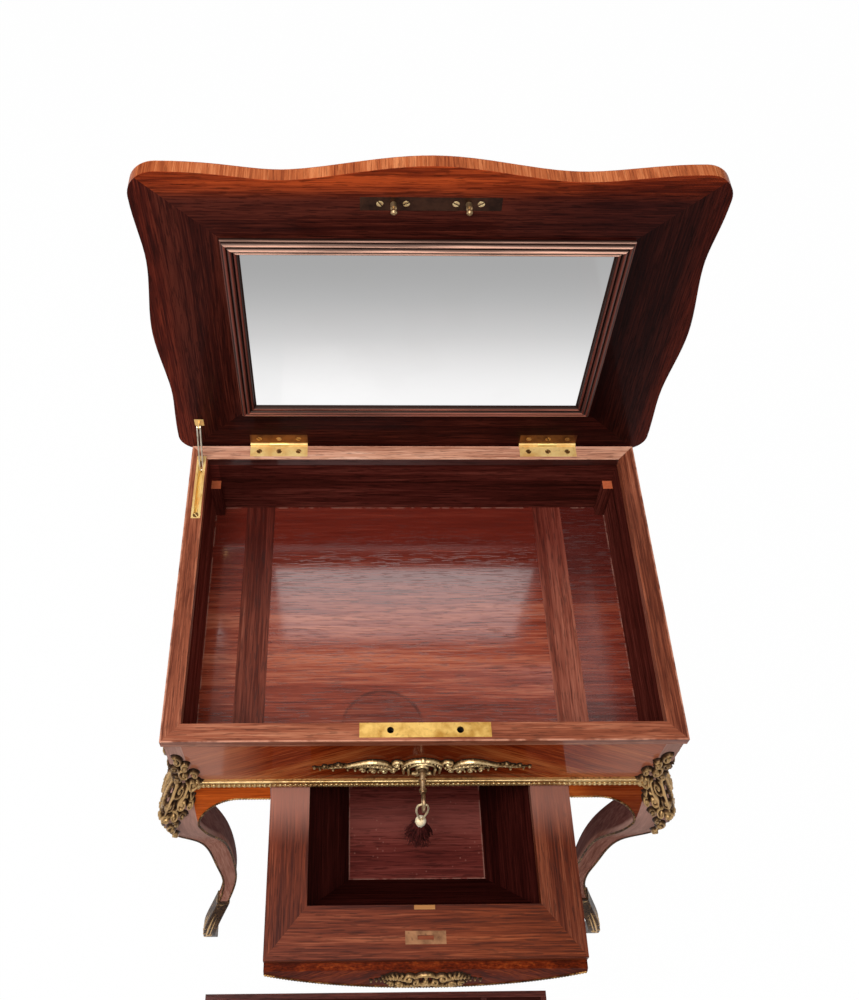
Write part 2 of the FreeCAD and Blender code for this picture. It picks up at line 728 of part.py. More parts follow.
def hinge_screws(label, on_lid, extra):
    # The screws of both hinges on one side, or, with extra clearance, their holes in the wood.
    pieces = []
    for i, middle in enumerate(hinge_middles):
        for j, offset in enumerate(leaf_screws):
            x = middle + offset
            name = f"{label}_{i}_{j}"
            if on_lid:
                head_at = shank_at = ("y", x, lid_leaf_y[0], lid_screw_z)
            else:
                head_at = ("z", x, screw_y, leaf_z[0])
                shank_at = ("z", x, screw_y, leaf_z[0] - s.screw_length)
            head = cylinder(f"{name}_head", s.screw_head, s.leaf_thickness, *head_at)
            shank = cylinder(f"{name}_shank", s.screw_shank + extra,
                             s.screw_length + s.leaf_thickness, *shank_at)
            pieces.append(join(name, [head, shank]))
    return group(label, pieces)


keep("hinge_screws_rim", hinge_screws("hinge_screws_rim", False, 0))
keep("hinge_screws_lid", hinge_screws("hinge_screws_lid", True, 0))

# Rims, mitred at the corners, with the beds of the plates let into them.
lock_plate_x = (lock_case_x[0] - s.lock_plate_lap, lock_case_x[1] + s.lock_plate_lap)
lock_plate_y = (lock_y - lock_plate_width / 2, lock_y + lock_plate_width / 2)
keep("rim_front", cut("rim_front", rim_blank("rim_front_blank", rim_ends(
    half_width, inner_x, -half_depth, -inner_y, False)), [
    box("rim_lock_bed", lock_plate_x, lock_plate_y, (lock_case_top, s.rim_height + 1)),
    box("rim_case_mortise", *case_mortise),
]))
keep("rim_right", rim_blank("rim_right", rim_ends(half_depth, inner_y, half_width, inner_x, True)))

# Lid stay: its lower pin slides in a slot of the left rim.
pivot = (hinge_y - s.stay_proud, s.rim_height + s.stay_rise)
seat = (hinge_y - s.stay_seat, s.rim_height - s.stay_drop)
stay_length = math.hypot(pivot[0].value - seat[0].value, pivot[1].value - seat[1].value)
lug_half = s.stay_bar / 2
bar_inner = lug_half + s.stay_slack
bar_outer = bar_inner + s.stay_bar
slot_half = bar_outer + s.stay_slack
slot_back = seat[0] + s.stay_slot_back
slot_front = hinge_y - s.stay_rise - stay_length - s.stay_slot_front
slot_bottom = seat[1] - s.stay_slot_depth
plate_y = (slot_front - s.stay_plate_margin, slot_back + s.stay_plate_margin)
plate_x = (stay_x - s.stay_plate_width / 2, stay_x + s.stay_plate_width / 2)
slot_x = (stay_x - slot_half, stay_x + slot_half)
stay_plate_bottom = sink_top - s.lock_plate_thickness
keep("stay_plate", padded("stay_plate", "XY_Plane", [
    rectangle(*plate_x, *plate_y), rectangle(*slot_x, slot_front, slot_back)], [],
    s.lock_plate_thickness, 0, 0, stay_plate_bottom))


def stay_channel(name):
    return box(name, slot_x, (slot_front, slot_back), (slot_bottom, s.rim_height + 1))


def stay_bed(name):
    return box(name, plate_x, plate_y, (stay_plate_bottom, s.rim_height + 1))


keep("rim_left", cut("rim_left", rim_blank("rim_left_blank", rim_ends(
    half_depth, inner_y, -half_width, -inner_x, True)), [
    stay_bed("rim_left_stay_bed"), stay_channel("rim_stay_channel")]))
back_cuts = [hinge_screws("rim_screw_holes", False, s.screw_clearance), stay_bed("rim_back_stay_bed")]
for i, middle in enumerate(hinge_middles):
    back_cuts.append(box(f"rim_leaf_bed_{i}", (middle - s.hinge_length / 2, middle + s.hinge_length / 2),
                         (leaf_front, half_depth + 1), (leaf_z[0], s.rim_height + 1)))
keep("rim_back", cut("rim_back", rim_blank("rim_back_blank", rim_ends(
    half_width, inner_x, half_depth, inner_y, False)), back_cuts))
left_blank = box("left_panel_blank", (-wall_outer_x, -inner_x), (-inner_y, inner_y), wall_z)
keep("left_panel", cut("left_panel", left_blank, [stay_channel("panel_stay_channel")]))


def stay_shape():
    # Two bars side by side, held together by the pivot pin and the slider pin.
    r, t = float(s.stay_bar_radius), float(s.stay_bar)
    inner, outer = float(bar_inner), float(bar_outer)
    ends = (0, stay_length)
    bars = []
    for low in (inner, -outer):
        bar = Part.makeBox(t, stay_length, 2 * r, Vector(low, 0, -r))
        for end in ends:
            bar = bar.fuse(Part.makeCylinder(r, t, Vector(low, end, 0), Vector(1, 0, 0)))
        bars.append(bar)
    pins = [Part.makeCylinder(float(s.stay_pin), 2 * outer, Vector(-outer, end, 0), Vector(1, 0, 0))
            for end in ends]
    return bars[0].fuse([bars[1]] + pins).removeSplitter()


lean = math.degrees(math.atan2(pivot[1].value - seat[1].value, pivot[0].value - seat[0].value))
stay = keep("stay_link", feature("stay_link", stay_shape()))
stay.Placement = FreeCAD.Placement(Vector(float(stay_x), float(seat[0]), float(seat[1])),
                                   FreeCAD.Rotation(Vector(1, 0, 0), lean))
bracket_half = s.stay_bracket_height / 2
bracket_x = plate_x
bracket_y = (lid_face + s.plate_sink, lid_face + s.plate_sink + s.leaf_thickness)
bracket_z = (pivot[1] - bracket_half, pivot[1] + bracket_half)
lug_x = (stay_x - lug_half, stay_x + lug_half)
keep("stay_bracket", cut("stay_bracket", join("stay_bracket_solid", [
    box("stay_bracket_base", bracket_x, bracket_y, bracket_z),
    box("stay_bracket_lug", lug_x, (pivot[0], bracket_y[1]),
        (pivot[1] - s.stay_bar_radius, pivot[1] + s.stay_bar_radius)),
    cylinder("stay_bracket_eye", s.stay_bar_radius, s.stay_bar, "x", lug_x[0], pivot[0], pivot[1]),
]), [cylinder("stay_bracket_bore", s.stay_pin + s.running_clearance, 2 * s.stay_bar, "x",
              stay_x - s.stay_bar, pivot[0], pivot[1])]))

# Lock: the case in the front wall, its plate on the rim, the sliding bolt and the key.
case_inner_x = (lock_case_x[0] + s.lock_case_wall, lock_case_x[1] - s.lock_case_wall)
case_inner_y = (lock_case_y[0] + s.lock_case_wall, lock_case_y[1] - s.lock_case_wall)
case_blank = box("lock_case_blank", lock_case_x, lock_case_y, (lock_case_bottom, lock_case_top))
keep("lock_case", cut("lock_case", case_blank, [
    box("lock_case_hollow", case_inner_x, case_inner_y,
        (lock_case_bottom + s.lock_case_wall, lock_case_top + 1)),
    cylinder("lock_case_keyhole", key_hole, lock_case_width / 2, "y", 0,
             lock_case_y[0] - 1, key_height),
]))
stud_xs = [lock_case_x[0] + s.stud_inset, lock_case_x[1] - s.stud_inset]
stud_hole = s.stud_radius + s.stud_clearance
keep("lock_plate", padded("lock_plate", "XY_Plane", [rectangle(*lock_plate_x, *lock_plate_y)],
                          [(x, lock_y, stud_hole) for x in stud_xs],
                          s.lock_plate_thickness, 0, 0, lock_case_top))
closed_face = s.rim_height + s.lid_gap
neck_low = closed_face - s.stud_length + s.stud_head
bolt_low = neck_low + (s.stud_neck_length - s.bolt_thickness) / 2
bolt_z = (bolt_low, bolt_low + s.bolt_thickness)
bolt_y = (case_inner_y[0] + s.bolt_slack, case_inner_y[1] - s.bolt_slack)
bolt_x = (case_inner_x[0] + s.bolt_slack, case_inner_x[1] - s.bolt_slack - s.bolt_throw)
bolt_cuts = []
for i, x in enumerate(stud_xs):
    slot_side = s.stud_neck + s.stud_clearance
    bolt_cuts.append(cylinder(f"bolt_hole_{i}", stud_hole, s.bolt_thickness * 3, "z", x, lock_y,
                              bolt_low - s.bolt_thickness))
    bolt_cuts.append(box(f"bolt_slot_{i}", (x - s.bolt_throw - slot_side, x),
                         (lock_y - slot_side, lock_y + slot_side),
                         (bolt_low - s.bolt_thickness, bolt_low + 2 * s.bolt_thickness)))
keep("lock_bolt", join("lock_bolt", [
    cut("lock_bolt_strip", box("lock_bolt_blank", bolt_x, bolt_y, bolt_z), bolt_cuts),
    box("lock_bolt_talon", (-s.bolt_throw, s.bolt_throw), (lock_y, bolt_y[1]),
        (key_height + s.bit_reach + s.bolt_slack, bolt_z[0])),
]))
bow_start = key_y + s.bow_radius
key_end = bolt_y[1] - s.bolt_slack
keep("key", join("key", [
    cylinder("key_shank", s.key_radius, key_end - bow_start, "y", 0, bow_start, key_height),
    cylinder("key_collar", s.collar_radius, s.collar_length, "y", 0, bow_start + s.collar_length, key_height),
    ring("key_bow", s.bow_radius, s.bow_wire, "x", 0, key_y, key_height),
    box("key_bit", (-s.bit_thickness / 2, s.bit_thickness / 2), (lock_y, key_end),
        (key_height, key_height + s.bit_reach)),
]))

# Tassel: a cord loop through the bow, a ball and a skirt of threads.
wire_height = key_height - s.bow_radius
ball_height = wire_height - s.cord_length
skirt_top = ball_height - s.tassel_ball
hem = well_base_z + s.tassel_clear
loop_ring = ring("tassel_loop", s.cord_loop, s.cord_radius, "y", 0, key_y, wire_height)
loop_reach = s.cord_loop + 2 * s.cord_radius
loop_top = cut("tassel_loop_top", loop_ring, [
    box("tassel_loop_lower", (-loop_reach, loop_reach), (key_y - loop_reach, key_y + loop_reach),
        (wire_height - loop_reach, wire_height))])
strands = [cylinder(f"tassel_strand_{i}", s.cord_radius, s.cord_length - s.cord_loop, "z",
                    s.cord_loop * side, key_y, ball_height + s.cord_loop) for i, side in enumerate((-1, 1))]
ball = doc.addObject("Part::Sphere", "tassel_ball")
ball.setExpression("Radius", s.tassel_ball.text)
place(ball, 0, key_y, ball_height)
hem_centre = Vector(float(s.tassel_lean), float(key_y), float(hem))
neck_centre = Vector(0, float(key_y), float(skirt_top))
skirt_rings = [Part.Wire(Part.makeCircle(float(radius), centre)) for radius, centre in
               ((s.tassel_radius, hem_centre), (s.tassel_neck, neck_centre))]
skirt = feature("tassel_skirt", Part.makeLoft(skirt_rings, True, True))
collar = cylinder("tassel_collar", s.tassel_neck, s.tassel_collar, "z", 0, key_y, skirt_top)
keep("key_tassel", join("key_tassel", [loop_top, *strands, ball, collar, skirt]))

# Cast mounts on the front. The escutcheon's outline is given in shares of its width and height.
plan = [(-0.5, 0), (-0.26, 0.22), (-0.1, 0.5), (0.1, 0.5), (0.26, 0.22), (0.5, 0), (0.26, -0.22),
        (0.1, -0.5), (-0.1, -0.5), (-0.26, -0.22)]
keep("escutcheon_mount", padded("escutcheon_mount", "XZ_Plane", [
    [(s.escutcheon_width * x, s.escutcheon_height * z) for x, z in plan]], [(0, 0, key_hole)],
    s.escutcheon_proud, 0, -wall_outer_y, key_height))
strip_z = (box_bottom - s.strip_height / 2, box_bottom + s.strip_height / 2)
strip_front_x = half_width - s.mount_middle_width - s.strip_gap
strip_side_y = half_depth - s.mount_middle_width - s.strip_gap


def strip_solid(half_length, half):
    # The moulding lies on the wall above and on the swelling frieze below.
    outline = flat_outline(rectangle(-half_length, half_length, *strip_z))
    low = float(s.strip_proud)
    lower = frieze_piece(outline, half, low, far)
    lower = lower.cut(frieze_piece(outline, half, 0.0, far + 1))
    upper = Part.makeBox(2 * half_length, low, float(s.strip_height) / 2)
    upper.translate(Vector(-half_length, -half + float(s.rim_proud) - low, float(box_bottom)))
    return upper.fuse(lower).removeSplitter()


front_strip = strip_solid(float(strip_front_x), float(half_depth))
side_strip = strip_solid(float(strip_side_y), float(half_width))
keep("frieze_mouldings", feature("frieze_mouldings", Part.Compound([front_strip] + to_sides(side_strip))))

# Lid, standing open: its inner face is upright behind the rim.
lid_corner_x = float(half_width + s.lid_over_side)
lid_front_z = float(s.rim_height + s.hinge_offset + s.carcase_depth + s.lid_over_front)
lid_back_z = float(s.rim_height - s.lid_over_back)


def quarter(centre_x, centre_z, radius, start, end):
    points = []
    for angle in (start, (start + end) / 2, end):
        turn = math.radians(angle)
        points.append(flat(centre_x + radius * math.cos(turn), centre_z + radius * math.sin(turn)))
    return Part.Arc(*points).toShape(), points[0], points[2]


def guided_spline(points, way):
    curve = Part.BSplineCurve()
    curve.interpolate(Points=points, InitialTangent=way, FinalTangent=way)
    return curve.toShape()


def lid_outline():
    x, back_r, front_r = lid_corner_x, float(s.lid_back_corner), float(s.lid_corner)
    bend, start, end = quarter(x - back_r, lid_back_z + back_r, back_r, -90, 0)
    front, front_start, front_end = quarter(x - front_r, lid_front_z - front_r, front_r, 0, 90)
    height = front_start.z - end.z
    dip, bulge = float(s.lid_side_dip), float(s.lid_side_bulge)
    hollow_low, swell, hollow_high = (end.z + height * share for share in (0.24, 0.5, 0.79))
    back_dip, front_hollow_x = dip * 0.6, x * 0.49
    right = [end, flat(x - back_dip, hollow_low), flat(x + bulge, swell), flat(x - dip, hollow_high),
             front_start]
    front_hollow = lid_front_z - float(s.lid_front_dip)
    top = [front_end, flat(front_hollow_x, front_hollow), flat(0, lid_front_z + float(s.lid_front_bulge)),
           flat(-front_hollow_x, front_hollow), flat(-front_end.x, front_end.z)]
    left_front, _, _ = quarter(-x + front_r, lid_front_z - front_r, front_r, 90, 180)
    left = [flat(-p.x, p.z) for p in reversed(right)]
    left_back, _, _ = quarter(-x + back_r, lid_back_z + back_r, back_r, 180, 270)
    return [bend, guided_spline(right, Vector(0, 0, 1)), front, guided_spline(top, Vector(-1, 0, 0)),
            left_front, guided_spline(left, Vector(0, 0, -1)), left_back,
            line(flat(-start.x, start.z), start)]


lid_shape = prism(lid_outline(), Vector(0, float(s.lid_thickness), 0))
lid_shape.translate(Vector(0, float(lid_face), 0))
link_z = s.rim_height + (hinge_y - lock_y)
link_plate_z = (link_z - lock_plate_width / 2, link_z + lock_plate_width / 2)
link_bed_y = (lid_face - 1, lid_face + s.plate_sink + s.lock_plate_thickness)
lid_cuts = [box("lid_link_bed", lock_plate_x, link_bed_y, link_plate_z),
            box("lid_bracket_bed", bracket_x, (lid_face - 1, bracket_y[1]), bracket_z),
            hinge_screws("lid_screw_holes", True, s.screw_clearance)]
for i, middle in enumerate(hinge_middles):
    x = (middle - s.hinge_length / 2, middle + s.hinge_length / 2)
    lid_cuts.append(box(f"lid_leaf_bed_{i}", x, (lid_face - 1, lid_leaf_y[1]),
                        (s.rim_height, lid_leaf_z[1])))
    lid_cuts.append(cylinder(f"lid_knuckle_groove_{i}", s.knuckle_radius + s.lid_gap, s.hinge_length, "x",
                             x[0], hinge_y, s.rim_height))
keep("lid_board", cut("lid_board", feature("lid_blank", lid_shape), lid_cuts))
keep("link_plate", padded("link_plate", "XZ_Plane", [rectangle(*lock_plate_x, *link_plate_z)], [],
                          s.lock_plate_thickness, 0, link_bed_y[1], 0))
stud_root = s.plate_sink
stud_profile = [
    (as_size(0), -stud_root), (s.stud_radius, -stud_root),
    (s.stud_radius, s.stud_length - s.stud_head - s.stud_neck_length),
    (s.stud_neck, s.stud_length - s.stud_head - s.stud_neck_length),
    (s.stud_neck, s.stud_length - s.stud_head), (s.stud_radius, s.stud_length - s.stud_head),
    (s.stud_radius, s.stud_length - s.stud_radius / 2), (s.stud_neck, s.stud_length),
    (as_size(0), s.stud_length),
]
studs = [revolved(f"link_stud_{i}", "XY_Plane", [(r, -y) for r, y in stud_profile], x, lid_face, link_z)
         for i, x in enumerate(stud_xs)]
keep("link_studs", group("link_studs", studs))

# Mirror and its mitred moulding.
mirror_low = s.rim_height + s.mirror_foot + s.moulding_width
mirror_high = link_plate_z[0] - s.mirror_head - s.moulding_width
mirror_z = (mirror_low + mirror_high) / 2
mirror_half_x = half_width + s.lid_over_side - s.mirror_side - s.moulding_width
mirror_half_z = (mirror_high - mirror_low) / 2
glass_half_x = mirror_half_x + s.rabbet_width
glass_half_z = mirror_half_z + s.rabbet_width
keep("mirror_glass", box("mirror_glass", (-glass_half_x, glass_half_x),
                         (lid_face - s.glass_thickness, lid_face),
                         (mirror_z - glass_half_z, mirror_z + glass_half_z)))


def moulding_section():
    # Across the moulding from its outer edge, and out from the lid: three reeded steps and a rabbet.
    w, p = float(s.moulding_width), float(s.moulding_proud)
    lap, bed = w - float(s.rabbet_width) - float(s.plate_sink), float(s.glass_thickness + s.plate_sink)
    return [(0, 0), (0, p * 0.72), (w * 0.06, p * 0.86), (w * 0.28, p * 0.86), (w * 0.34, p), (w * 0.56, p),
            (w * 0.62, p * 0.86), (w * 0.78, p * 0.8), (w * 0.84, p * 0.66), (w, p * 0.58), (w, bed),
            (lap, bed), (lap, 0)]


def moulding(half_long, half_other, along_x, side):
    # One strip at the given side of the mirror, mitred at 45 degrees.
    w, p = float(s.moulding_width), float(s.moulding_proud)
    outer_long, outer_other = half_long + w, half_other + w
    section = [Vector(-outer_long, -proud, -outer_other + across) for across, proud in moulding_section()]
    strip = Part.Face(Part.makePolygon(section + section[:1])).extrude(Vector(2 * outer_long, 0, 0))
    mitre = [Vector(-outer_long, -2 * p, -outer_other), Vector(outer_long, -2 * p, -outer_other),
             Vector(half_long, -2 * p, -half_other), Vector(-half_long, -2 * p, -half_other)]
    wedge = Part.Face(Part.makePolygon(mitre + mitre[:1])).extrude(Vector(0, 4 * p, 0))
    piece = strip.common(wedge)
    turn = {(True, -1): 0, (True, 1): 180, (False, -1): 90, (False, 1): -90}[(along_x, side)]
    piece.rotate(Vector(), Vector(0, 1, 0), turn)
    piece.translate(Vector(0, float(lid_face), float(mirror_z)))
    return piece


seen_x, seen_z = float(mirror_half_x), float(mirror_half_z)
keep("mirror_moulding_bottom", feature("mirror_moulding_bottom", moulding(seen_x, seen_z, True, -1)))
keep("mirror_moulding_top", feature("mirror_moulding_top", moulding(seen_x, seen_z, True, 1)))
keep("mirror_moulding_left", feature("mirror_moulding_left", moulding(seen_z, seen_x, False, -1)))
keep("mirror_moulding_right", feature("mirror_moulding_right", moulding(seen_z, seen_x, False, 1)))

# Drawer, pulled out: a frame of four rails, the swelling front below it and the tapered well.
swell_at_drawer = float(s.knee_out) * float(s.drawer_drop) / float(s.knee_drop)
drawer_front_y = -half_depth + s.rim_proud - s.knee_out * s.drawer_drop / s.knee_drop - s.drawer_pull
drawer_back_y = inner_y - s.drawer_back_gap - s.drawer_pull
well_front_y = drawer_front_y + s.front_rail_width
well_back_y = drawer_back_y - s.rail_width
well_half = drawer_half - s.rail_width
front_rail_corners = [(-drawer_half, drawer_front_y), (drawer_half, drawer_front_y),
                      (well_half, well_front_y), (-well_half, well_front_y)]
strike_y = drawer_front_y + s.strike_setback
strike_x = (-s.strike_length / 2, s.strike_length / 2)
strike_band = (strike_y - s.strike_width / 2, strike_y + s.strike_width / 2)
strike_bottom = drawer_top - s.plate_sink - s.strike_thickness
keep("drawer_rail_front", cut("drawer_rail_front", padded(
    "drawer_rail_front_blank", "XY_Plane", [front_rail_corners], [], s.rail_thickness, 0, 0, rail_bottom), [
    box("strike_bed", strike_x, strike_band, (strike_bottom, drawer_top + 1))]))
for name, side in (("drawer_rail_left", -1), ("drawer_rail_right", 1)):
    corners_xy = [(drawer_half * side, drawer_front_y), (well_half * side, well_front_y),
                  (well_half * side, drawer_back_y), (drawer_half * side, drawer_back_y)]
    keep(name, padded(name, "XY_Plane", [corners_xy], [], s.rail_thickness, 0, 0, rail_bottom))
keep("drawer_rail_back", box("drawer_rail_back", (-well_half, well_half), (well_back_y, drawer_back_y),
                             (rail_bottom, drawer_top)))
strike_slot_x, strike_slot_y = s.strike_length / 5, s.strike_width / 6
keep("drawer_strike_plate", padded("drawer_strike_plate", "XY_Plane", [
    rectangle(*strike_x, *strike_band),
    rectangle(-strike_slot_x, strike_slot_x, strike_y - strike_slot_y, strike_y + strike_slot_y)],
    [], s.strike_thickness, 0, 0, strike_bottom))

front_low = [flat(-drawer_half, drawer_top - s.drawer_front_end),
             flat(0, drawer_top - s.drawer_front_middle),
             flat(drawer_half, drawer_top - s.drawer_front_end)]
front_outline = [Part.Arc(*front_low).toShape(), *lines([
    front_low[2], flat(drawer_half, rail_bottom), flat(-drawer_half, rail_bottom), front_low[0]])]
front_inner = float(s.rim_proud) + float(s.drawer_front_thickness) - swell_at_drawer
closed_front = frieze_piece(front_outline, float(half_depth), 0.0, front_inner)
front_pull = Vector(0, -float(s.drawer_pull), 0)
drawer_front = keep("drawer_front", feature("drawer_front", closed_front))
drawer_front.Placement = FreeCAD.Placement(front_pull, FreeCAD.Rotation())
mount_middle = float(drawer_top - (s.rail_thickness + s.drawer_front_middle) / 2)
mount_x, mount_z = float(s.front_mount_width) / 2, float(s.front_mount_height) / 2
shoulder_x, shoulder_z = mount_x * 0.45, mount_z * 0.8
mount_outline = flat_outline([(x, mount_middle + z) for x, z in (
    (-mount_x, 0), (-shoulder_x, shoulder_z), (0, mount_z), (shoulder_x, shoulder_z),
    (mount_x, 0), (shoulder_x, -shoulder_z), (0, -mount_z), (-shoulder_x, -shoulder_z))])
front_mount = frieze_piece(mount_outline, float(half_depth), float(s.front_mount_proud), far)
front_mount = front_mount.cut(frieze_piece(mount_outline, float(half_depth), 0.0, far + 1))
front_mount_thing = keep("drawer_front_mount", feature("drawer_front_mount", front_mount))
front_mount_thing.Placement = FreeCAD.Placement(front_pull, FreeCAD.Rotation())


def hexahedron(low, high):
    # A solid between two four-cornered faces, one above the other.
    faces = [low[::-1], high] + [[low[i], low[(i + 1) % 4], high[(i + 1) % 4], high[i]] for i in range(4)]
    shell = Part.makeShell([Part.Face(Part.makePolygon(face + face[:1])) for face in faces])
    solid = Part.makeSolid(shell)
    if solid.Volume < 0:
        solid.reverse()
    return solid


def well_ring(grow, z, drawn_x, drawn_y):
    x = float(well_half) - drawn_x + grow
    front, back_y = float(well_front_y) + drawn_y - grow, float(well_back_y) - drawn_y + grow
    return [Vector(-x, front, z), Vector(x, front, z), Vector(x, back_y, z), Vector(-x, back_y, z)]


draw_x, draw_y = float(s.well_side_slope), float(s.well_end_slope)
low_in = well_ring(0.0, float(well_base_z), draw_x, draw_y)
low_out = well_ring(float(s.well_wall), float(well_base_z), draw_x, draw_y)
high_in = well_ring(0.0, float(rail_bottom), 0.0, 0.0)
high_out = well_ring(float(s.well_wall), float(rail_bottom), 0.0, 0.0)
for i, name in enumerate(("well_front", "well_right", "well_back", "well_left")):
    j = (i + 1) % 4
    keep(name, feature(name, hexahedron([low_out[i], low_out[j], low_in[j], low_in[i]],
                                        [high_out[i], high_out[j], high_in[j], high_in[i]])))
base_half = well_half - s.well_side_slope + s.well_wall
base_inset = s.well_end_slope - s.well_wall
keep("well_base", box("well_base", (-base_half, base_half),
                      (well_front_y + base_inset, well_back_y - base_inset),
                      (well_base_z - s.well_wall, well_base_z)))

# Runners: grooved rails at the drawer's sides, from the front aprons to the back apron.
runner_half = drawer_half + s.runner_slack
runner_inner = well_half + s.well_wall + s.runner_gap
runner_end = half_depth - leg_joint
runner_z = (rail_bottom - s.runner_slack - s.runner_thickness, box_bottom)
runners = []
for i, side in enumerate((-1, 1)):
    blank = box(f"runner_blank_{i}", span(side, runner_inner, runner_half + s.runner_guide),
                (-runner_end, runner_end), runner_z)
    groove = box(f"runner_groove_{i}", span(side, runner_inner - 1, runner_half),
                 (-runner_end - 1, runner_end + 1),
                 (rail_bottom - s.runner_slack, drawer_top + s.runner_slack))
    runners.append(cut(f"drawer_runner_{i}", blank, [groove]))
keep("drawer_runners", group("drawer_runners", runners))

# Tray, taken out and set on the floor in front.
tray_half_x = inner_x - s.tray_slack
tray_depth = 2 * (inner_y - s.tray_slack)
tray_y = (-s.tray_front - tray_depth, -s.tray_front)
tray_x = (-s.tray_left - tray_half_x, tray_half_x - s.tray_left)
tray_in_x = (tray_x[0] + s.tray_wall, tray_x[1] - s.tray_wall)
tray_in_y = (tray_y[0] + s.tray_wall, tray_y[1] - s.tray_wall)
tray_z = (as_size(0), s.tray_height)
keep("tray_base", box("tray_base", tray_in_x, tray_in_y, (as_size(0), s.tray_base_thickness)))
keep("tray_sides", group("tray_sides", [
    box("tray_side_near", tray_x, (tray_y[0], tray_in_y[0]), tray_z),
    box("tray_side_far", tray_x, (tray_in_y[1], tray_y[1]), tray_z),
    box("tray_side_left", (tray_x[0], tray_in_x[0]), tray_in_y, tray_z),
    box("tray_side_right", (tray_in_x[1], tray_x[1]), tray_in_y, tray_z),
]))
divider_z = (s.tray_base_thickness, s.tray_height - s.tray_wall)
lane_left = (tray_in_x[0] + s.tray_lane, tray_in_x[0] + s.tray_lane + s.tray_wall)
lane_right = (tray_in_x[1] - s.tray_lane - s.tray_wall, tray_in_x[1] - s.tray_lane)
lane_far = (tray_in_y[1] - s.tray_lane - s.tray_wall, tray_in_y[1] - s.tray_lane)
keep("tray_dividers", group("tray_dividers", [
    box("tray_divider_left", lane_left, tray_in_y, divider_z),
    box("tray_divider_right", lane_right, tray_in_y, divider_z),
    box("tray_divider_far", (lane_left[1], lane_right[0]), lane_far, divider_z),
]))

doc.recompute()
problems = []
for thing in doc.Objects:
    if "Invalid" in thing.State or "Error" in thing.State:
        problems.append(f"{thing.Name}: {thing.State}")
for name, thing in nodes.items():
    if thing.Shape.isNull() or not thing.Shape.isValid() or not thing.Shape.Solids:
        problems.append(f"{name}: no valid solid")
if problems:
    raise RuntimeError("; ".join(problems))

os.makedirs("parts", exist_ok=True)
for name, thing in nodes.items():
    thing.Shape.exportStep(f"parts/{thing.Label}.step")
    print(name, len(thing.Shape.Solids), round(thing.Shape.Volume / 1000, 2), "cm3")
print(len(nodes), "nodes")
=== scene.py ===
import json
import math
import bpy
import numpy as np
from mathutils import Matrix, Vector
from mathutils.bvhtree import BVHTree

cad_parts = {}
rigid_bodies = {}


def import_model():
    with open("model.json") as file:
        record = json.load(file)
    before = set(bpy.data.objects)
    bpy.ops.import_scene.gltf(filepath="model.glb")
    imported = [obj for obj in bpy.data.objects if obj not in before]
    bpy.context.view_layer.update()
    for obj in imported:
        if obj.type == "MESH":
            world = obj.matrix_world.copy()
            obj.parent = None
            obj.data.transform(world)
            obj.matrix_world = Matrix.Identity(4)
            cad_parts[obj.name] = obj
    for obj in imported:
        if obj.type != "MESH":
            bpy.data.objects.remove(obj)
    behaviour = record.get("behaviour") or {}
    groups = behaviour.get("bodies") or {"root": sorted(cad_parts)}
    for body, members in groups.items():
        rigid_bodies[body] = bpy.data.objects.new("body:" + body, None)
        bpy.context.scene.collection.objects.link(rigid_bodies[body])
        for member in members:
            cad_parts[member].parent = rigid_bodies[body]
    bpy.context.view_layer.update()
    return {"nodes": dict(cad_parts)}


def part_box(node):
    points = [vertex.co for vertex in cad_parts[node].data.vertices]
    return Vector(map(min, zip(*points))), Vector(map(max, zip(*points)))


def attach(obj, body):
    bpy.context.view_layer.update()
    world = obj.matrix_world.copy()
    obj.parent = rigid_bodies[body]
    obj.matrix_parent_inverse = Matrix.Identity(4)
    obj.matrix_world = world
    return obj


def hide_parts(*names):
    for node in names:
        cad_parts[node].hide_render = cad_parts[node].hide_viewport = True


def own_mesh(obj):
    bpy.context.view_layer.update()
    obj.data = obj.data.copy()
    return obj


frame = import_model()
nodes = frame["nodes"]
scene = bpy.context.scene
scene.view_settings.view_transform = "Standard"
print("frame:", len(nodes), "pieces")

# the box of the table in metres, front at -y
case = {"halfWidth": 0.2715, "halfDepth": 0.1905, "rimTop": 0.700, "wallOut": 0.002, "knee": 0.500,
        "archTop": 0.561, "archRun": 0.052, "joint": 0.019, "drawerSide": 0.1665, "backDrop": 0.030,
        "sideDrop": 0.018, "keyHeight": 0.625, "drawerPull": 0.182, "drawerTop": 0.579, "mountDrop": 0.028}
halfX, halfY = case["halfWidth"], case["halfDepth"]

photoCamera = {"place": (-0.0734, -0.6119, 1.7307), "down": 53.6304, "turn": 2.2593, "roll": 1.8347,
               "focal": 1059.177, "centre": (378.8925, 474.9593), "image": (859, 1000)}


def makeCamera(p):
    down, turn, roll = (math.radians(p[k]) for k in ("down", "turn", "roll"))
    forward = Vector((math.sin(turn) * math.cos(down), math.cos(turn) * math.cos(down), -math.sin(down)))
    level = Vector((math.cos(turn), -math.sin(turn), 0))
    upright = level.cross(forward)
    right = math.cos(roll) * level + math.sin(roll) * upright
    up = math.cos(roll) * upright - math.sin(roll) * level
    width, height = p["image"]
    longSide = max(width, height)
    data = bpy.data.cameras.new("photoCamera")
    data.sensor_width = 36
    data.lens = p["focal"] / longSide * data.sensor_width
    data.shift_x = (width / 2 - p["centre"][0]) / longSide
    data.shift_y = (p["centre"][1] - height / 2) / longSide
    camera = bpy.data.objects.new("photoCamera", data)
    turned = Matrix((right, up, -forward)).transposed()
    camera.matrix_world = Matrix.Translation(p["place"]) @ turned.to_4x4()
    scene.collection.objects.link(camera)
    scene.camera = camera


makeCamera(photoCamera)


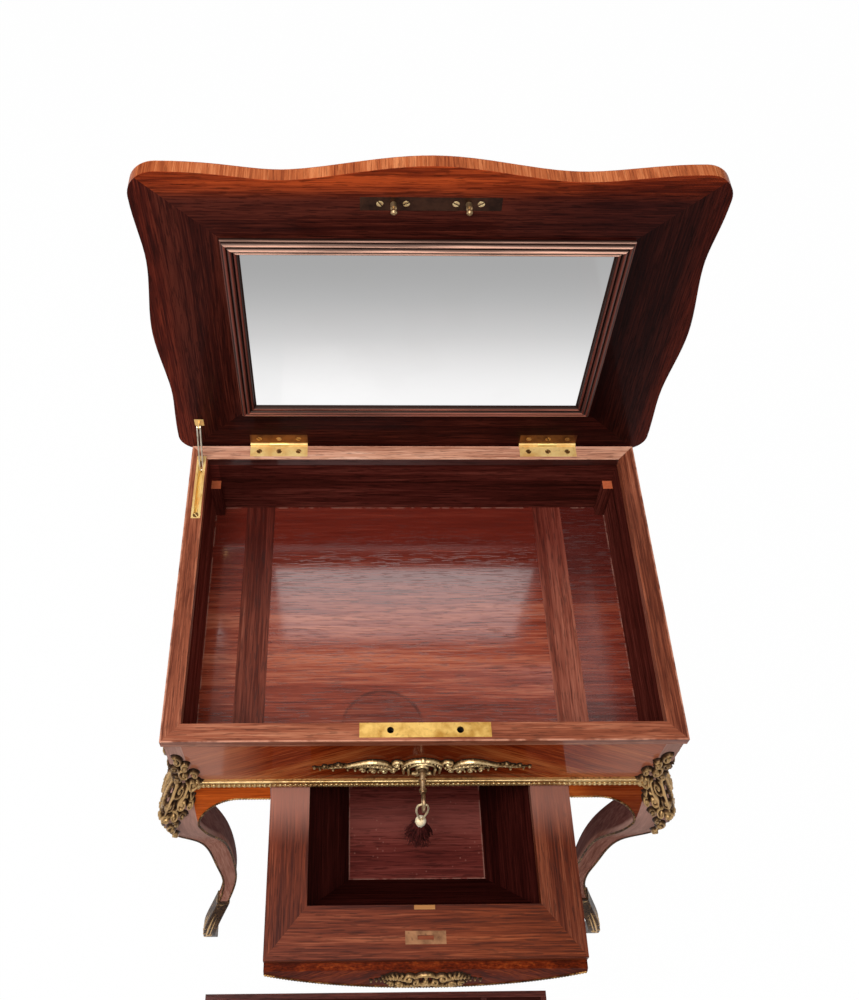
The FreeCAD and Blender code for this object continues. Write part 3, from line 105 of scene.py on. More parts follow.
# shader wiring
def tint(r, g, b):
    # a colour as a screen shows it, 0 to 255, as linear light
    shares = (c / 255 for c in (r, g, b))
    return tuple(c / 12.92 if c < 0.04045 else ((c + 0.055) / 1.055) ** 2.4 for c in shares) + (1.0,)


class Sock:
    # one output of a node; arithmetic on it adds Math nodes
    def __init__(self, finish, socket):
        self.finish = finish
        self.socket = socket

    def run(self, operation, *values):
        return self.finish.node("ShaderNodeMath", {"operation": operation}, dict(enumerate(values)))

    def __add__(self, other):
        return self.run("ADD", self, other)

    __radd__ = __add__

    def __sub__(self, other):
        return self.run("SUBTRACT", self, other)

    def __rsub__(self, other):
        return self.run("SUBTRACT", other, self)

    def __mul__(self, other):
        return self.run("MULTIPLY", self, other)

    __rmul__ = __mul__

    def __abs__(self):
        return self.run("ABSOLUTE", self)

    def least(self, other):
        return self.run("MINIMUM", self, other)

    def most(self, other):
        return self.run("MAXIMUM", self, other)

    def above(self, edge):
        return self.run("GREATER_THAN", self, edge)

    def span(self, low, high):
        # 0 at low, 1 at high, smooth between them
        return self.finish.node("ShaderNodeMapRange", {"interpolation_type": "SMOOTHSTEP"},
                                {"Value": self, "From Min": low, "From Max": high})


class Wiring:
    # adds nodes to a tree, with their settings first and then their sockets
    def node(self, kind, settings, sockets, out=0):
        made = self.tree.nodes.new(kind)
        for key, value in settings.items():
            if key == "stops":
                self.setStops(made.color_ramp, value)
            else:
                setattr(made, key, value)
        for key, value in sockets.items():
            for one in value if isinstance(value, list) else [value]:
                self.wire(one, made.inputs[key])
        return Sock(self, made.outputs[out])

    def wire(self, value, socket):
        if isinstance(value, Sock):
            self.tree.links.new(value.socket, socket)
        else:
            socket.default_value = value

    def setStops(self, ramp, stops):
        while len(ramp.elements) < len(stops):
            ramp.elements.new(0.5)
        for element, (place, colour) in zip(ramp.elements, stops):
            element.position = place
            element.color = colour


class Finish(Wiring):
    # a material with a Principled surface
    def __init__(self, name):
        self.material = bpy.data.materials.new(name)
        self.material.use_nodes = True
        self.tree = self.material.node_tree
        self.tree.nodes.clear()
        self.output = self.tree.nodes.new("ShaderNodeOutputMaterial")
        self.surface = self.tree.nodes.new("ShaderNodeBsdfPrincipled")
        self.tree.links.new(self.surface.outputs[0], self.output.inputs["Surface"])
        self.point = self.node("ShaderNodeTexCoord", {}, {}, "Object")
        self.x, self.y, self.z = (self.node("ShaderNodeSeparateXYZ", {}, {"Vector": self.point}, axis)
                                  for axis in "XYZ")

    def vector(self, x, y, z):
        return self.node("ShaderNodeCombineXYZ", {}, {0: x, 1: y, 2: z})

    def noise(self, vector, scale=1.0, detail=2.0, roughness=0.5):
        return self.node("ShaderNodeTexNoise", {}, {"Vector": vector, "Scale": scale, "Detail": detail,
                                                    "Roughness": roughness})

    def spots(self, vector, scale):
        return self.node("ShaderNodeTexVoronoi", {"feature": "F1"}, {"Vector": vector, "Scale": scale})

    def mix(self, share, a, b, blend="MIX"):
        settings = {"data_type": "RGBA", "blend_type": blend}
        return self.node("ShaderNodeMix", settings, {0: share, 6: a, 7: b}, 2)

    def ramp(self, value, stops):
        return self.node("ShaderNodeValToRGB", {"stops": stops}, {0: value})

    def attribute(self, name):
        return self.node("ShaderNodeAttribute", {"attribute_name": name}, {}, "Fac")

    def set(self, **sockets):
        for name, value in sockets.items():
            self.wire(value, self.surface.inputs[name.replace("_", " ")])

    def bump(self, height, strength, distance):
        self.set(Normal=self.node("ShaderNodeBump", {}, {"Strength": strength, "Distance": distance,
                                                         "Height": height}))


# woods: three tones, sway of the grain in metres, dark pores, coat, roughness, shine, refraction, bump
def woodLook(deep, mid, pale, sway=0.010, pore=0.4, gloss=0.0, rough=0.42, shine=0.15, index=1.45, bump=0.25):
    return {"deep": deep, "mid": mid, "pale": pale, "sway": sway, "pore": pore, "gloss": gloss,
            "rough": rough, "shine": shine, "index": index, "bump": bump}


woods = {
    "case": woodLook((92, 28, 10), (156, 58, 21), (196, 106, 54), 0.020, gloss=0.2, rough=0.36, shine=0.0),
    "rim": woodLook((92, 42, 27), (142, 76, 52), (182, 116, 86), 0.006, 0.42, 0.08),
    # rimBack: paler than rim, a painted sheen on the back rim
    "rimBack": woodLook((150, 92, 70), (204, 146, 118), (236, 190, 166), 0.006, 0.5, 0.2),
    "apron": woodLook((146, 56, 14), (188, 82, 24), (216, 110, 44), 0.012, 0.25, rough=0.4, shine=0.02),
    "drawerFront": woodLook((62, 16, 3), (100, 32, 7), (140, 60, 20), 0.012, gloss=0.04, shine=0.04),
    "leg": woodLook((104, 60, 48), (132, 84, 70), (156, 110, 95), 0.010, 0.08, 0.03, 0.4, 0.0),
    # lining: dark wood, made darker still as painted shade for the inside of the box
    "lining": woodLook((50, 19, 14), (80, 31, 25), (112, 54, 44), 0.008, 0.55, rough=0.46, shine=0.0),
    "floor": woodLook((104, 38, 24), (146, 62, 41), (184, 104, 76), 0.018, rough=0.10, shine=0.5, index=2.45,
                      bump=0.12),
    "cross": woodLook((84, 36, 26), (122, 60, 45), (160, 94, 74), 0.006, 0.45, rough=0.3, shine=0.3),
    "lid": woodLook((34, 8, 6), (56, 17, 11), (88, 36, 25), 0.012, 0.5, 0.03, shine=0.03),
    "band": woodLook((126, 56, 30), (172, 90, 50), (206, 126, 80), 0.004, 0.3, 0.2, 0.34),
    "drawer": woodLook((66, 23, 11), (108, 46, 25), (150, 80, 52), 0.008, 0.45, 0.03),
    # well: nearly black, painted shade for the deep well
    "well": woodLook((32, 8, 6), (50, 15, 12), (70, 26, 21), rough=0.55, shine=0.0),
    "wellBase": woodLook((70, 24, 20), (94, 36, 30), (118, 56, 48), 0.020, 0.5, rough=0.55, shine=0.05),
    "pale": woodLook((166, 112, 64), (202, 150, 92), (228, 184, 124), 0.004, 0.3, 0.1),
    "tray": woodLook((72, 32, 26), (104, 50, 41), (136, 80, 68), 0.006, 0.5, 0.1),
}

# layers of the grain: how fine along it and across it, then the noise's detail and roughness
grains = {"bands": (1.2, 18, 3, 0.55), "streaks": (4, 130, 3, 0.6), "fibres": (20, 620, 2, 0.55),
          "ticks": (48, 560, 2, 0.55)}


def veneer(f, kind, along, across, depth):
    # colour, roughness and surface height of one wood, with its grain along one direction
    look = woods[kind]
    wander = f.noise(f.vector(along * 2.2, across * 7, depth * 7), 1, 2) - 0.5
    swayed = across + wander * look["sway"]
    layer = {label: f.noise(f.vector(along * fine, swayed * close, depth * close), 1, detail, roughness)
             for label, (fine, close, detail, roughness) in grains.items()}
    fibres = layer["fibres"]
    ticks = layer["ticks"].span(0.55, 0.63)
    tone = layer["bands"] * 0.50 + layer["streaks"] * 0.38 + fibres * 0.40 - 0.14
    stops = [(0.37, tint(*look["deep"])), (0.5, tint(*look["mid"])), (0.63, tint(*look["pale"]))]
    colour = f.mix(ticks * look["pore"], f.ramp(tone, stops), tint(*(0.6 * c for c in look["deep"])))
    return {"colour": colour, "rough": ticks * 0.12 + fibres * 0.08 + (look["rough"] - 0.04),
            "height": fibres * 0.25 - ticks * 0.5, "look": look}


def inlay(f, share, under, over):
    return {"colour": f.mix(share, under["colour"], over["colour"]),
            "rough": under["rough"] + share * (over["rough"] - under["rough"]),
            "height": under["height"] + share * (over["height"] - under["height"]),
            "look": under["look"]}


def deepen(f, wood, share, *factors):
    # multiplies red, green and blue
    wood["colour"] = f.mix(share, wood["colour"], (*factors, 1), "MULTIPLY")


def stain(f, wood, share, *colour):
    wood["colour"] = f.mix(share, wood["colour"], tint(*colour))


def dust(f, wood, toWall, wide, patches, share, *colour):
    # a broken pale line along the walls
    line = (1 - toWall.span(0.0004, wide)) * f.noise(f.point, 90, 3).span(*patches)
    stain(f, wood, line * share, *colour)


def polish(f, wood, gloss=None):
    look = wood["look"]
    coat = look["gloss"] if gloss is None else gloss
    f.set(Base_Color=wood["colour"], Roughness=wood["rough"], Coat_Weight=coat)
    f.set(Coat_Roughness=0.08, Specular_IOR_Level=look["shine"], IOR=look["index"])
    f.bump(wood["height"], look["bump"], 0.0004)
    return f.material


def straight(f, kind, direction):
    x, y, z = f.x, f.y, f.z
    order = {"x": (x, y, z), "y": (y, x, z), "z": (z, x, y)}[direction]
    return veneer(f, kind, *order)


def chevron(f, kind, side, depth, steep):
    # matched halves, with the grain rising towards the middle
    run, rise = math.cos(steep), math.sin(steep)
    away = abs(side)
    return veneer(f, kind, f.z * rise - away * run, away * rise + f.z * run, depth)


def startWood(name, kind, direction):
    f = Finish(name)
    return f, straight(f, kind, direction)


def plainWood(name, kind, direction):
    return polish(*startWood(name, kind, direction))


# where the woods change tone: start and end of each change, in metres
fades = {"edgeHighlight": (0.0006, 0.0024), "panelMiddle": (0.02, 0.13), "panelEnds": (0.15, 0.23),
         "lidTop": (0.044, 0.070), "lidSides": (0.050, 0.078), "lidRight": (0.05, 0.2),
         "toRight": (0.15, 0.2), "backShadeSpan": (-0.02, 0.13), "railSheenSpan": (-0.262, -0.205),
         "railRight": (-0.05, 0.10), "knee": (0.38, 0.46), "legInside": (0.004, 0.009)}


# share of the painted shade that darkens the compartment towards the back
def towardsBack(f):
    return f.y.span(*fades["backShadeSpan"])


def frontRight(f):
    return f.x.span(*fades["toRight"]) * (1 - f.y.above(0.0))


def leftHalf(f):
    return 1 - f.x.above(0.0)


def shadedWood(name, kind, direction, where, *factors):
    # a wood that is darker or paler in one place
    f, wood = startWood(name, kind, direction)
    deepen(f, wood, where(f), *factors)
    return polish(f, wood)


def rimWood(name, direction, kind="rim"):
    # a painted highlight along the outer top edge, broken in patches, where a rounded edge would catch the
    # light; the back piece is painted dark on its inner face as painted shade
    f, wood = startWood(name, kind, direction)
    fromEdge = (halfY - abs(f.y)).least(halfX - abs(f.x)).most(case["rimTop"] - f.z)
    # painted highlight: pale line along the outer top edge, broken in patches
    edgeHighlight = (1 - fromEdge.span(*fades["edgeHighlight"])) * f.noise(f.point, 60, 3).span(0.3, 0.6)
    stain(f, wood, edgeHighlight * 0.8, 214, 150, 122)
    # painted shade: the back rim's inner face, below the lid, is darkened
    if kind == "rimBack":
        topFace, backFace = case["rimTop"] - 0.0008, 0.185
        inner = (1 - f.z.above(topFace)) * (1 - f.y.above(backFace))
        deepen(f, wood, inner, 0.10, 0.045, 0.05)
    return polish(f, wood)


def panelWood(name, direction):
    # matched veneer outside, dark in the middle, with a painted reflection making it paler at the ends; a
    # lining inside, darker partly as painted shade, its left wall painted lighter as lit
    f = Finish(name)
    leftWall, skin = -0.24, 0.009
    side, depth, wall = (f.x, f.y, halfY) if direction == "x" else (f.y, f.x, halfX)
    outside = chevron(f, "case", side, depth, math.radians(32))
    stain(f, outside, (1 - abs(f.x).span(*fades["panelMiddle"])) * 0.55, 64, 15, 6)
    # painted reflection: paler at both ends, more so on the left where the light falls
    endSheen = abs(f.x).span(*fades["panelEnds"]) * (0.42 + leftHalf(f) * 0.22)
    stain(f, outside, endSheen, 204, 136, 108)
    lining = straight(f, "lining", direction)
    # painted light: the lining of the left wall is lighter
    deepen(f, lining, 1 - f.x.above(leftWall), 1.7, 1.6, 1.6)
    inner = 1 - abs(depth).above(wall - case["wallOut"] - skin)
    return polish(f, inlay(f, inner, outside, lining), (1 - inner) * 0.25)


lidFace = {"mirrorX": 0.206, "mirrorLow": 0.760, "mirrorHigh": 1.0287, "halfX": 0.2875, "top": 1.1147,
           "foot": 0.691, "middle": 0.903, "border": 0.045, "inside": 0.1945, "outside": 0.2098}


def lidWood(name, p):
    # inside: four mitred fields round the mirror; outside: matched quarters in a cross-cut border
    f, top = startWood(name, "lid", "x")
    side = straight(f, "lid", "z")
    overX = abs(f.x) - p["mirrorX"]
    above = f.z - p["mirrorHigh"]
    overZ = (p["mirrorLow"] - f.z).most(above)
    # paler towards the top edge: partly the wood's border and partly a painted reflection of the floor
    deepen(f, top, above.span(*fades["lidTop"]), 5.0, 4.0, 1.5)
    # painted shade: the right half of the top field is darker
    deepen(f, top, f.x.span(*fades["lidRight"]), 0.55, 0.48, 0.55)
    deepen(f, side, overX.span(*fades["lidSides"]) * 0.7, 3.0, 2.4, 1.8)
    # painted shade: the right side field is darker
    deepen(f, side, f.x.above(0.0), 0.40, 0.36, 0.40)
    inside = inlay(f, overX.above(overZ), top, side)
    edgeX = p["halfX"] - abs(f.x)
    edgeZ = (p["top"] - f.z).least(f.z - p["foot"])
    upright = edgeX.above(edgeZ)
    border = inlay(f, upright, straight(f, "band", "x"), straight(f, "band", "z"))
    up, out = abs(f.z - p["middle"]), abs(f.x)
    quarters = veneer(f, "case", (up + out) * 0.707, (up - out) * 0.707, f.y)
    outside = inlay(f, edgeX.least(edgeZ).above(p["border"]), border, quarters)
    edge = inlay(f, upright, veneer(f, "band", f.y, f.z, 0.0), veneer(f, "band", f.y, f.x, 0.0))
    wood = inlay(f, f.y.above(p["inside"]), inside, edge)
    return polish(f, inlay(f, f.y.above(p["outside"]), wood, outside))


# the compartment's floor, and a ring left on it by a cup
floorPlan = {"halfX": 0.2515, "halfY": 0.1705}
cupRing = {"x": -0.041, "y": -0.134, "radius": 0.0465, "line": 0.0035, "inside": (0.043, 0.048)}


def floorWood(name, p, cup):
    # painted shade darkening towards the back, browner and duller on the right
    f, wood = startWood(name, "floor", "x")
    backShade = towardsBack(f)
    deepen(f, wood, backShade, 0.50, 0.29, 0.31)
    stain(f, wood, backShade * 0.55, 100, 35, 26)
    onRight = f.x.span(*fades["toRight"])
    deepen(f, wood, onRight, 0.60, 0.40, 0.34)
    wood["rough"] = wood["rough"] + onRight * 0.16
    fromCup = f.vector(f.x - cup["x"], f.y - cup["y"], 0.0)
    away = f.node("ShaderNodeVectorMath", {"operation": "LENGTH"}, {0: fromCup}, "Value")
    onLine = 1 - abs(away - cup["radius"]).span(0.0, cup["line"])
    line = onLine * f.noise(f.point, 40, 3).span(0.35, 0.65)
    stain(f, wood, (1 - away.span(*cup["inside"])) * 0.25, 84, 32, 24)
    stain(f, wood, line * 0.7, 62, 24, 18)
    toWall = (p["halfX"] - abs(f.x)).least(p["halfY"] - abs(f.y))
    dust(f, wood, toWall, 0.0022, (0.4, 0.6), 0.55, 168, 124, 108)
    return polish(f, wood)


def railWood(name, direction, *onRight):
    # drawer rails: a painted sheen, paler towards the table's front
    f, wood = startWood(name, "drawer", direction)
    # painted sheen near the table's front
    stain(f, wood, f.y.span(*fades["railSheenSpan"]) * 0.5, 186, 132, 116)
    deepen(f, wood, f.x.span(*fades["railRight"]), *onRight)
    return polish(f, wood)


def frontWood(name):
    f = Finish(name)
    return polish(f, chevron(f, "drawerFront", f.x, f.y, math.radians(24)))


def postWood(name):
    # orange end grain on top
    f, wood = startWood(name, "lining", "z")
    topFace = 0.6545
    end = f.noise(f.vector(f.x * 300, f.y * 300, 0.0), 1, 3)
    top = f.mix(end, tint(150, 66, 40), tint(206, 112, 72))
    wood["colour"] = f.mix(f.z.above(topFace), wood["colour"], top)
    return polish(f, wood)


def baseWood(name):
    # pale specks, a band of sheen and dust along the walls
    f, wood = startWood(name, "wellBase", "x")
    sheen, wallX, wallY = 0.190, 0.0795, 0.2610
    specks = (1 - f.spots(f.point, 150).span(0.10, 0.2)) * f.noise(f.point, 30, 2).span(0.5, 0.65)
    stain(f, wood, specks * 0.6, 150, 96, 84)
    stain(f, wood, (1 - abs(f.y + sheen).span(0.004, 0.030)) * 0.3, 136, 76, 68)
    toWall = (wallX - abs(f.x)).least(f.y + wallY)
    dust(f, wood, toWall, 0.0020, (0.35, 0.55), 0.6, 150, 106, 92)
    return polish(f, wood)


def reedWood(name, direction, crest):
    # a painted highlight, pale, on the crests of the reeds, and painted shade, nearly black, between them
    f = Finish(name)
    high = f.attribute("relief")
    fine = (place * (9 if axis == direction else 300) for axis, place in zip("xyz", (f.x, f.y, f.z)))
    streak = f.noise(f.vector(*fine), 1, 3)
    stops = [(0.40, tint(24, 7, 5)), (0.80, tint(*(0.40 * c for c in crest))), (1.0, tint(*crest))]
    f.set(Base_Color=f.ramp(high + (streak - 0.5) * 0.5, stops), Roughness=0.52 - high * 0.2)
    f.set(Specular_IOR_Level=0.35, Specular_Tint=(1.0, 0.66, 0.54, 1))
    f.bump(streak, 0.15, 0.0003)
    return f.material


# metals: two tones in clouds, the tarnish, roughness, metal share, height below which a painted glint is
# added
def metalLook(low, high, dark, rough, metal=0.85, glintBelow=None):
    return {"low": low, "high": high, "dark": dark, "rough": rough, "metal": metal, "glintBelow": glintBelow}


metals = {
    "brass": metalLook((206, 150, 66), (255, 212, 122), (150, 100, 44), 0.48),
    # hinge is painted paler, a painted sheen on the lit rim leaves; hingeLid is its darker shaded copy for
    # the lid's upright leaves
    "hinge": metalLook((236, 182, 104), (255, 222, 148), (176, 120, 58), 0.5, 0.5),
    "hingeLid": metalLook((70, 38, 18), (112, 70, 38), (48, 24, 10), 0.34, glintBelow=0.7026),
    "channel": metalLook((255, 214, 128), (255, 236, 164), (224, 172, 92), 0.5, 0.2),
    "link": metalLook((40, 23, 16), (74, 47, 34), (24, 12, 8), 0.42),
    "strike": metalLook((104, 68, 46), (158, 112, 78), (54, 32, 22), 0.42),
    "key": metalLook((128, 96, 66), (232, 200, 156), (62, 38, 22), 0.34),
    "strip": metalLook((160, 122, 72), (236, 204, 146), (84, 54, 26), 0.36),
    "iron": metalLook((26, 20, 16), (44, 36, 30), (14, 10, 8), 0.6, 0.4),
    "steel": metalLook((206, 188, 160), (255, 246, 226), (136, 108, 80), 0.30, 0.6),
    "screw": metalLook((132, 90, 46), (206, 160, 96), (70, 42, 22), 0.4),
    # ball: pale cream beyond gold, a painted highlight
    "ball": metalLook((255, 232, 188), (255, 250, 232), (222, 160, 86), 0.34, 0.1),
    "screwDark": metalLook((84, 54, 26), (150, 106, 58), (44, 26, 12), 0.4),
    "screwPale": metalLook((182, 150, 98), (246, 220, 168), (110, 78, 44), 0.4),
    "gold": metalLook((120, 92, 62), (206, 176, 132), (70, 46, 28), 0.3),
}


def plateMetal(name, kind):
    # rubbed bright, with tarnish in clouds and fine scratches, and a painted glint below a given height
    look = metals[kind]
    f = Finish(name)
    cloud = f.noise(f.point, 55, 4, 0.6)
    scratch = f.noise(f.vector(f.x * 90, f.y * 1400, f.z * 1400), 1, 2)
    colour = f.mix(cloud.span(0.3, 0.7), tint(*look["low"]), tint(*look["high"]))
    colour = f.mix(f.noise(f.point, 160, 3).span(0.58, 0.76) * 0.45, colour, tint(*look["dark"]))
    # painted glint: pale below the given height, along the knuckle
    if look["glintBelow"]:
        colour = f.mix(1 - f.z.above(look["glintBelow"]), colour, tint(255, 226, 150))
    rough = cloud * 0.2 + scratch * 0.12 + (look["rough"] - 0.14)
    f.set(Base_Color=colour, Metallic=look["metal"], Roughness=rough)
    f.bump(scratch, 0.08, 0.0002)
    return f.material


def castSkin(f):
    f.bump(f.noise(f.point, 900, 2), 0.2, 0.0003)
    return f.material


def castBronze(name, dark, mid, high):
    # gilding left on the high places, brown patina in the hollows
    f = Finish(name)
    relief = f.attribute("relief")
    rub = relief + (f.noise(f.point, 380, 3) - 0.5) * 0.7
    f.set(Base_Color=f.ramp(rub, [(0.12, tint(*dark)), (0.48, tint(*mid)), (0.86, tint(*high))]))
    f.set(Metallic=0.75, Roughness=0.52 - relief * 0.18)
    return castSkin(f)


def beadBronze(name, shade=1.0, metal=0.75):
    # brighter from the tops of the arches upwards
    f = Finish(name)
    upper = case["archTop"] - 0.0015
    rub = f.noise(f.point, 300, 3) + (f.noise(f.point, 24, 2) - 0.5) * 0.6 + f.z.above(upper) * 0.3
    tones = ((0.3, (38, 20, 10)), (0.55, (96, 62, 32)), (0.8, (186, 140, 84)))
    f.set(Base_Color=f.ramp(rub, [(at, tint(*(shade * c for c in tone))) for at, tone in tones]))
    f.set(Metallic=metal, Roughness=0.42, Specular_IOR_Level=0.15)
    return castSkin(f)


def oldMirror(name):
    # silvered plate with a painted reflection: it glows grey above and white below, with faint clouds, in
    # place of the pale room it would show
    f = Finish(name)
    top, foot = 1.012, 0.775
    down = f.z.span(top, foot)
    colour = f.ramp(down, [(at, tint(grey, grey, grey)) for at, grey in ((0.0, 167), (0.5, 206), (1.0, 246))])
    cloud = f.noise(f.point, 14, 3).span(0.45, 0.8) * 0.04
    colour = f.mix(cloud, colour, tint(150, 146, 140))
    f.set(Base_Color=(0.03, 0.03, 0.03, 1), Metallic=1.0, Roughness=0.06)
    # painted reflection: the gradient is emitted, so the plate glows
    f.set(Emission_Color=colour, Emission_Strength=1.0)
    return f.material


def threadSilk(name, low, high, sheen):
    f = Finish(name)
    twist = f.noise(f.vector(f.x * 900, f.y * 900, f.z * 160), 1, 2)
    colour = f.mix(twist.span(0.3, 0.7), tint(*low), tint(*high))
    f.set(Base_Color=colour, Roughness=0.62, Sheen_Weight=sheen)
    f.bump(twist, 0.4, 0.0004)
    return f.material


def paint(names, material):
    for name in names.split():
        slots = nodes[name].material_slots
        if not slots:
            nodes[name].data.materials.append(material)
        for one in slots:
            one.material = material


beadMetal = beadBronze("beadBronze")
castMetal = castBronze("castBronze", (46, 28, 15), (88, 59, 33), (200, 160, 106))
giltMetal = castBronze("giltBronze", (38, 20, 9), (132, 96, 56), (246, 214, 158))
keyMetal = plateMetal("keyBronze", "key")
# painted highlight on the crests: palest on the top strip, dimmer on the bottom, darkest on the sides, as the
# light falls
mouldX, mouldLow = reedWood("mouldX", "x", (255, 196, 170)), reedWood("mouldLow", "x", (190, 116, 96))
mouldZ = reedWood("mouldZ", "z", (112, 50, 38))
paint("rim_front", rimWood("rimX", "x"))
paint("rim_back", rimWood("rimBack", "x", "rimBack"))
paint("rim_left rim_right", rimWood("rimY", "y"))
paint("front_panel back_panel", panelWood("panelX", "x"))
paint("left_panel right_panel", panelWood("panelY", "y"))
paint("front_aprons front_rail back_apron drawer_runners",
      shadedWood("apronX", "apron", "x", frontRight, 0.36, 0.28, 0.32))
paint("side_aprons", plainWood("apronY", "apron", "y"))
paint("lid_board", lidWood("lidWood", lidFace))
paint("compartment_floor", floorWood("floorWood", floorPlan, cupRing))
# painted shade: the cross bands darken towards the back, as the floor does
paint("floor_bands", shadedWood("bandWood", "cross", "y", towardsBack, 0.55, 0.38, 0.40))
paint("tray_posts", postWood("postWood"))
paint("drawer_front", frontWood("drawerFront"))
paint("drawer_rail_front drawer_rail_back", railWood("drawerRailX", "x", 1.25, 1.3, 1.05))
paint("drawer_rail_left drawer_rail_right", railWood("drawerRailY", "y", 0.72, 0.72, 0.72))
paint("well_front well_back", plainWood("wellX", "well", "x"))
# painted light: the well's left side is lighter, with less painted shade
paint("well_left well_right", shadedWood("wellY", "well", "y", leftHalf, 2.1, 2.4, 2.4))
paint("well_base", baseWood("wellBase"))
paint("tray_base", plainWood("trayBase", "lining", "x"))
paint("tray_sides tray_dividers", plainWood("trayWood", "tray", "x"))
paint("mirror_glass", oldMirror("oldMirror"))
paint("mirror_moulding_top", mouldX)
paint("mirror_moulding_bottom", mouldLow)
paint("mirror_moulding_left mirror_moulding_right", mouldZ)
paint("lock_plate", plateMetal("lockBrass", "brass"))
paint("hinge_leaves_rim hinge_pins stay_plate stay_bracket", plateMetal("hingeBrass", "hinge"))
paint("hinge_leaves_lid", plateMetal("hingeLidBrass", "hingeLid"))
paint("link_plate", plateMetal("linkBronze", "link"))
paint("drawer_strike_plate", plateMetal("strikeBrass", "strike"))
paint("stay_link", plateMetal("staySteel", "steel"))
paint("lock_case lock_bolt", plateMetal("lockIron", "iron"))
paint("link_studs", plateMetal("rubbedGold", "gold"))
paint("key", keyMetal)
paint("corner_mounts escutcheon_mount drawer_front_mount frieze_mouldings", beadMetal)
paint("sabots", beadBronze("shoeBronze", 0.8, 0.3))
print("finishes done")


# swelling outline of the corners, read from one leg
def readOutline():
    mesh = nodes["leg_front_left"].data
    tree = BVHTree.FromPolygons([v.co for v in mesh.vertices], [p.vertices[:] for p in mesh.polygons])
    heights = np.linspace(0.004, 0.686, 260)
    slip, outside, inside = 0.0015, 0.1, 0.12
    diagonal = Vector((1, 1, 0)).normalized()
    outer, inner = [], []
    for z in heights:
        hit = tree.ray_cast(Vector((-halfX - outside + slip, -halfY - outside, z)), diagonal)[0]
        outer.append(hit.y + halfY)
        hit = tree.ray_cast(Vector((-halfX + inside + slip, -halfY + inside, z)), -diagonal)[0]
        inner.append(hit.x + halfX)
    return heights, np.array(outer), np.array(inner)


outlineZ, outlineOuter, outlineInner = readOutline()


def outerAt(z):
    return np.interp(z, outlineZ, outlineOuter)


def innerAt(z):
    return np.interp(z, outlineZ, outlineInner)


def legWood(name):
    # painted shade on the two faces inside the corner, darker than the two outside, which are painted lighter
    # as lit, and a painted sheen making the knee paler
    f, wood = startWood(name, "leg", "z")
    tall, lift, scale = 0.6, 0.04, 0.1
    heights = np.linspace(0.0, tall, 25)
    shades = (outerAt(heights) + lift) / scale
    stops = [(z / tall, (shade, shade, shade, 1)) for z, shade in zip(heights, shades)]
    inset = f.ramp(f.z * (1 / tall), stops) * scale - lift
    inside = ((halfX - abs(f.x)).least(halfY - abs(f.y)) - inset).span(*fades["legInside"])
    outer, inner = dict(wood), dict(wood)
    deepen(f, outer, 1.0, 1.5, 1.5, 1.48)
    deepen(f, inner, 1.0, 0.66, 0.56, 0.62)
    wood["colour"] = f.mix(inside, outer["colour"], inner["colour"])
    # painted sheen on the knee
    stain(f, wood, f.z.span(*fades["knee"]) * (1 - inside) * 0.4, 208, 174, 162)
    return polish(f, wood)


paint("leg_front_left leg_front_right leg_back_left leg_back_right", legWood("legWood"))


def newMesh(name, points, faces, relief=None, smooth=False):
    mesh = bpy.data.meshes.new(name)
    mesh.from_pydata(points, [], faces)
    if relief is not None:
        heights = mesh.attributes.new("relief", "FLOAT", "POINT")
        heights.data.foreach_set("value", np.asarray(relief, np.float32))
    if smooth:
        mesh.polygons.foreach_set("use_smooth", np.ones(len(mesh.polygons), bool))
    return mesh


def addPiece(name, mesh, body, material, standsFor=()):
    if material is not None:
        mesh.materials.clear()
        mesh.materials.append(material)
    piece = bpy.data.objects.new(name, mesh)
    scene.collection.objects.link(piece)
    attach(piece, body)
    if standsFor:
        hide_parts(*standsFor)
    return piece


# cast ornament: rounded ridges drawn in millimetres, then raised from the surface they lie on
def smoothLine(points, count=14):
    p = np.array(points, float)
    if len(p) == 2:
        return p[0] + (p[1] - p[0]) * np.linspace(0, 1, count)[:, None]
    t = np.linspace(0, len(p) - 1, count)
    ends = np.vstack([2 * p[0] - p[1], p, 2 * p[-1] - p[-2]])
    i = np.minimum(t.astype(int), len(p) - 2)
    s = (t - i)[:, None]
    a, b, c, d = (ends[i + k] for k in range(4))
    curve = (2 * a - 5 * b + 4 * c - d) * s ** 2 + (3 * b - a - 3 * c + d) * s ** 3
    return 0.5 * (2 * b + (c - a) * s + curve)


def ridge(points, widths, heights, count=14):
    line = smoothLine(points, count)
    share = np.linspace(0, 1, len(line))
    spread = [np.interp(share, np.linspace(0, 1, len(v)), v) for v in (widths, heights)]
    return line, spread[0], spread[1]


def boss(u, v, width, height):
    return ridge(((u, v), (u + 0.01, v)), (width, width), (height, height), 2)


def curl(u, v, radius, start, turns, width, height, hand=1):
    # a volute that winds in to a small boss
    share = np.linspace(0, 1, 30)
    angle = math.radians(start) + hand * share * turns * 2 * math.pi
    reach = radius * (1 - 0.85 * share)
    line = np.stack([u + reach * np.cos(angle), v + reach * np.sin(angle)], 1)
    return line, width * (1 - 0.4 * share), height * (0.85 + 0.3 * share)


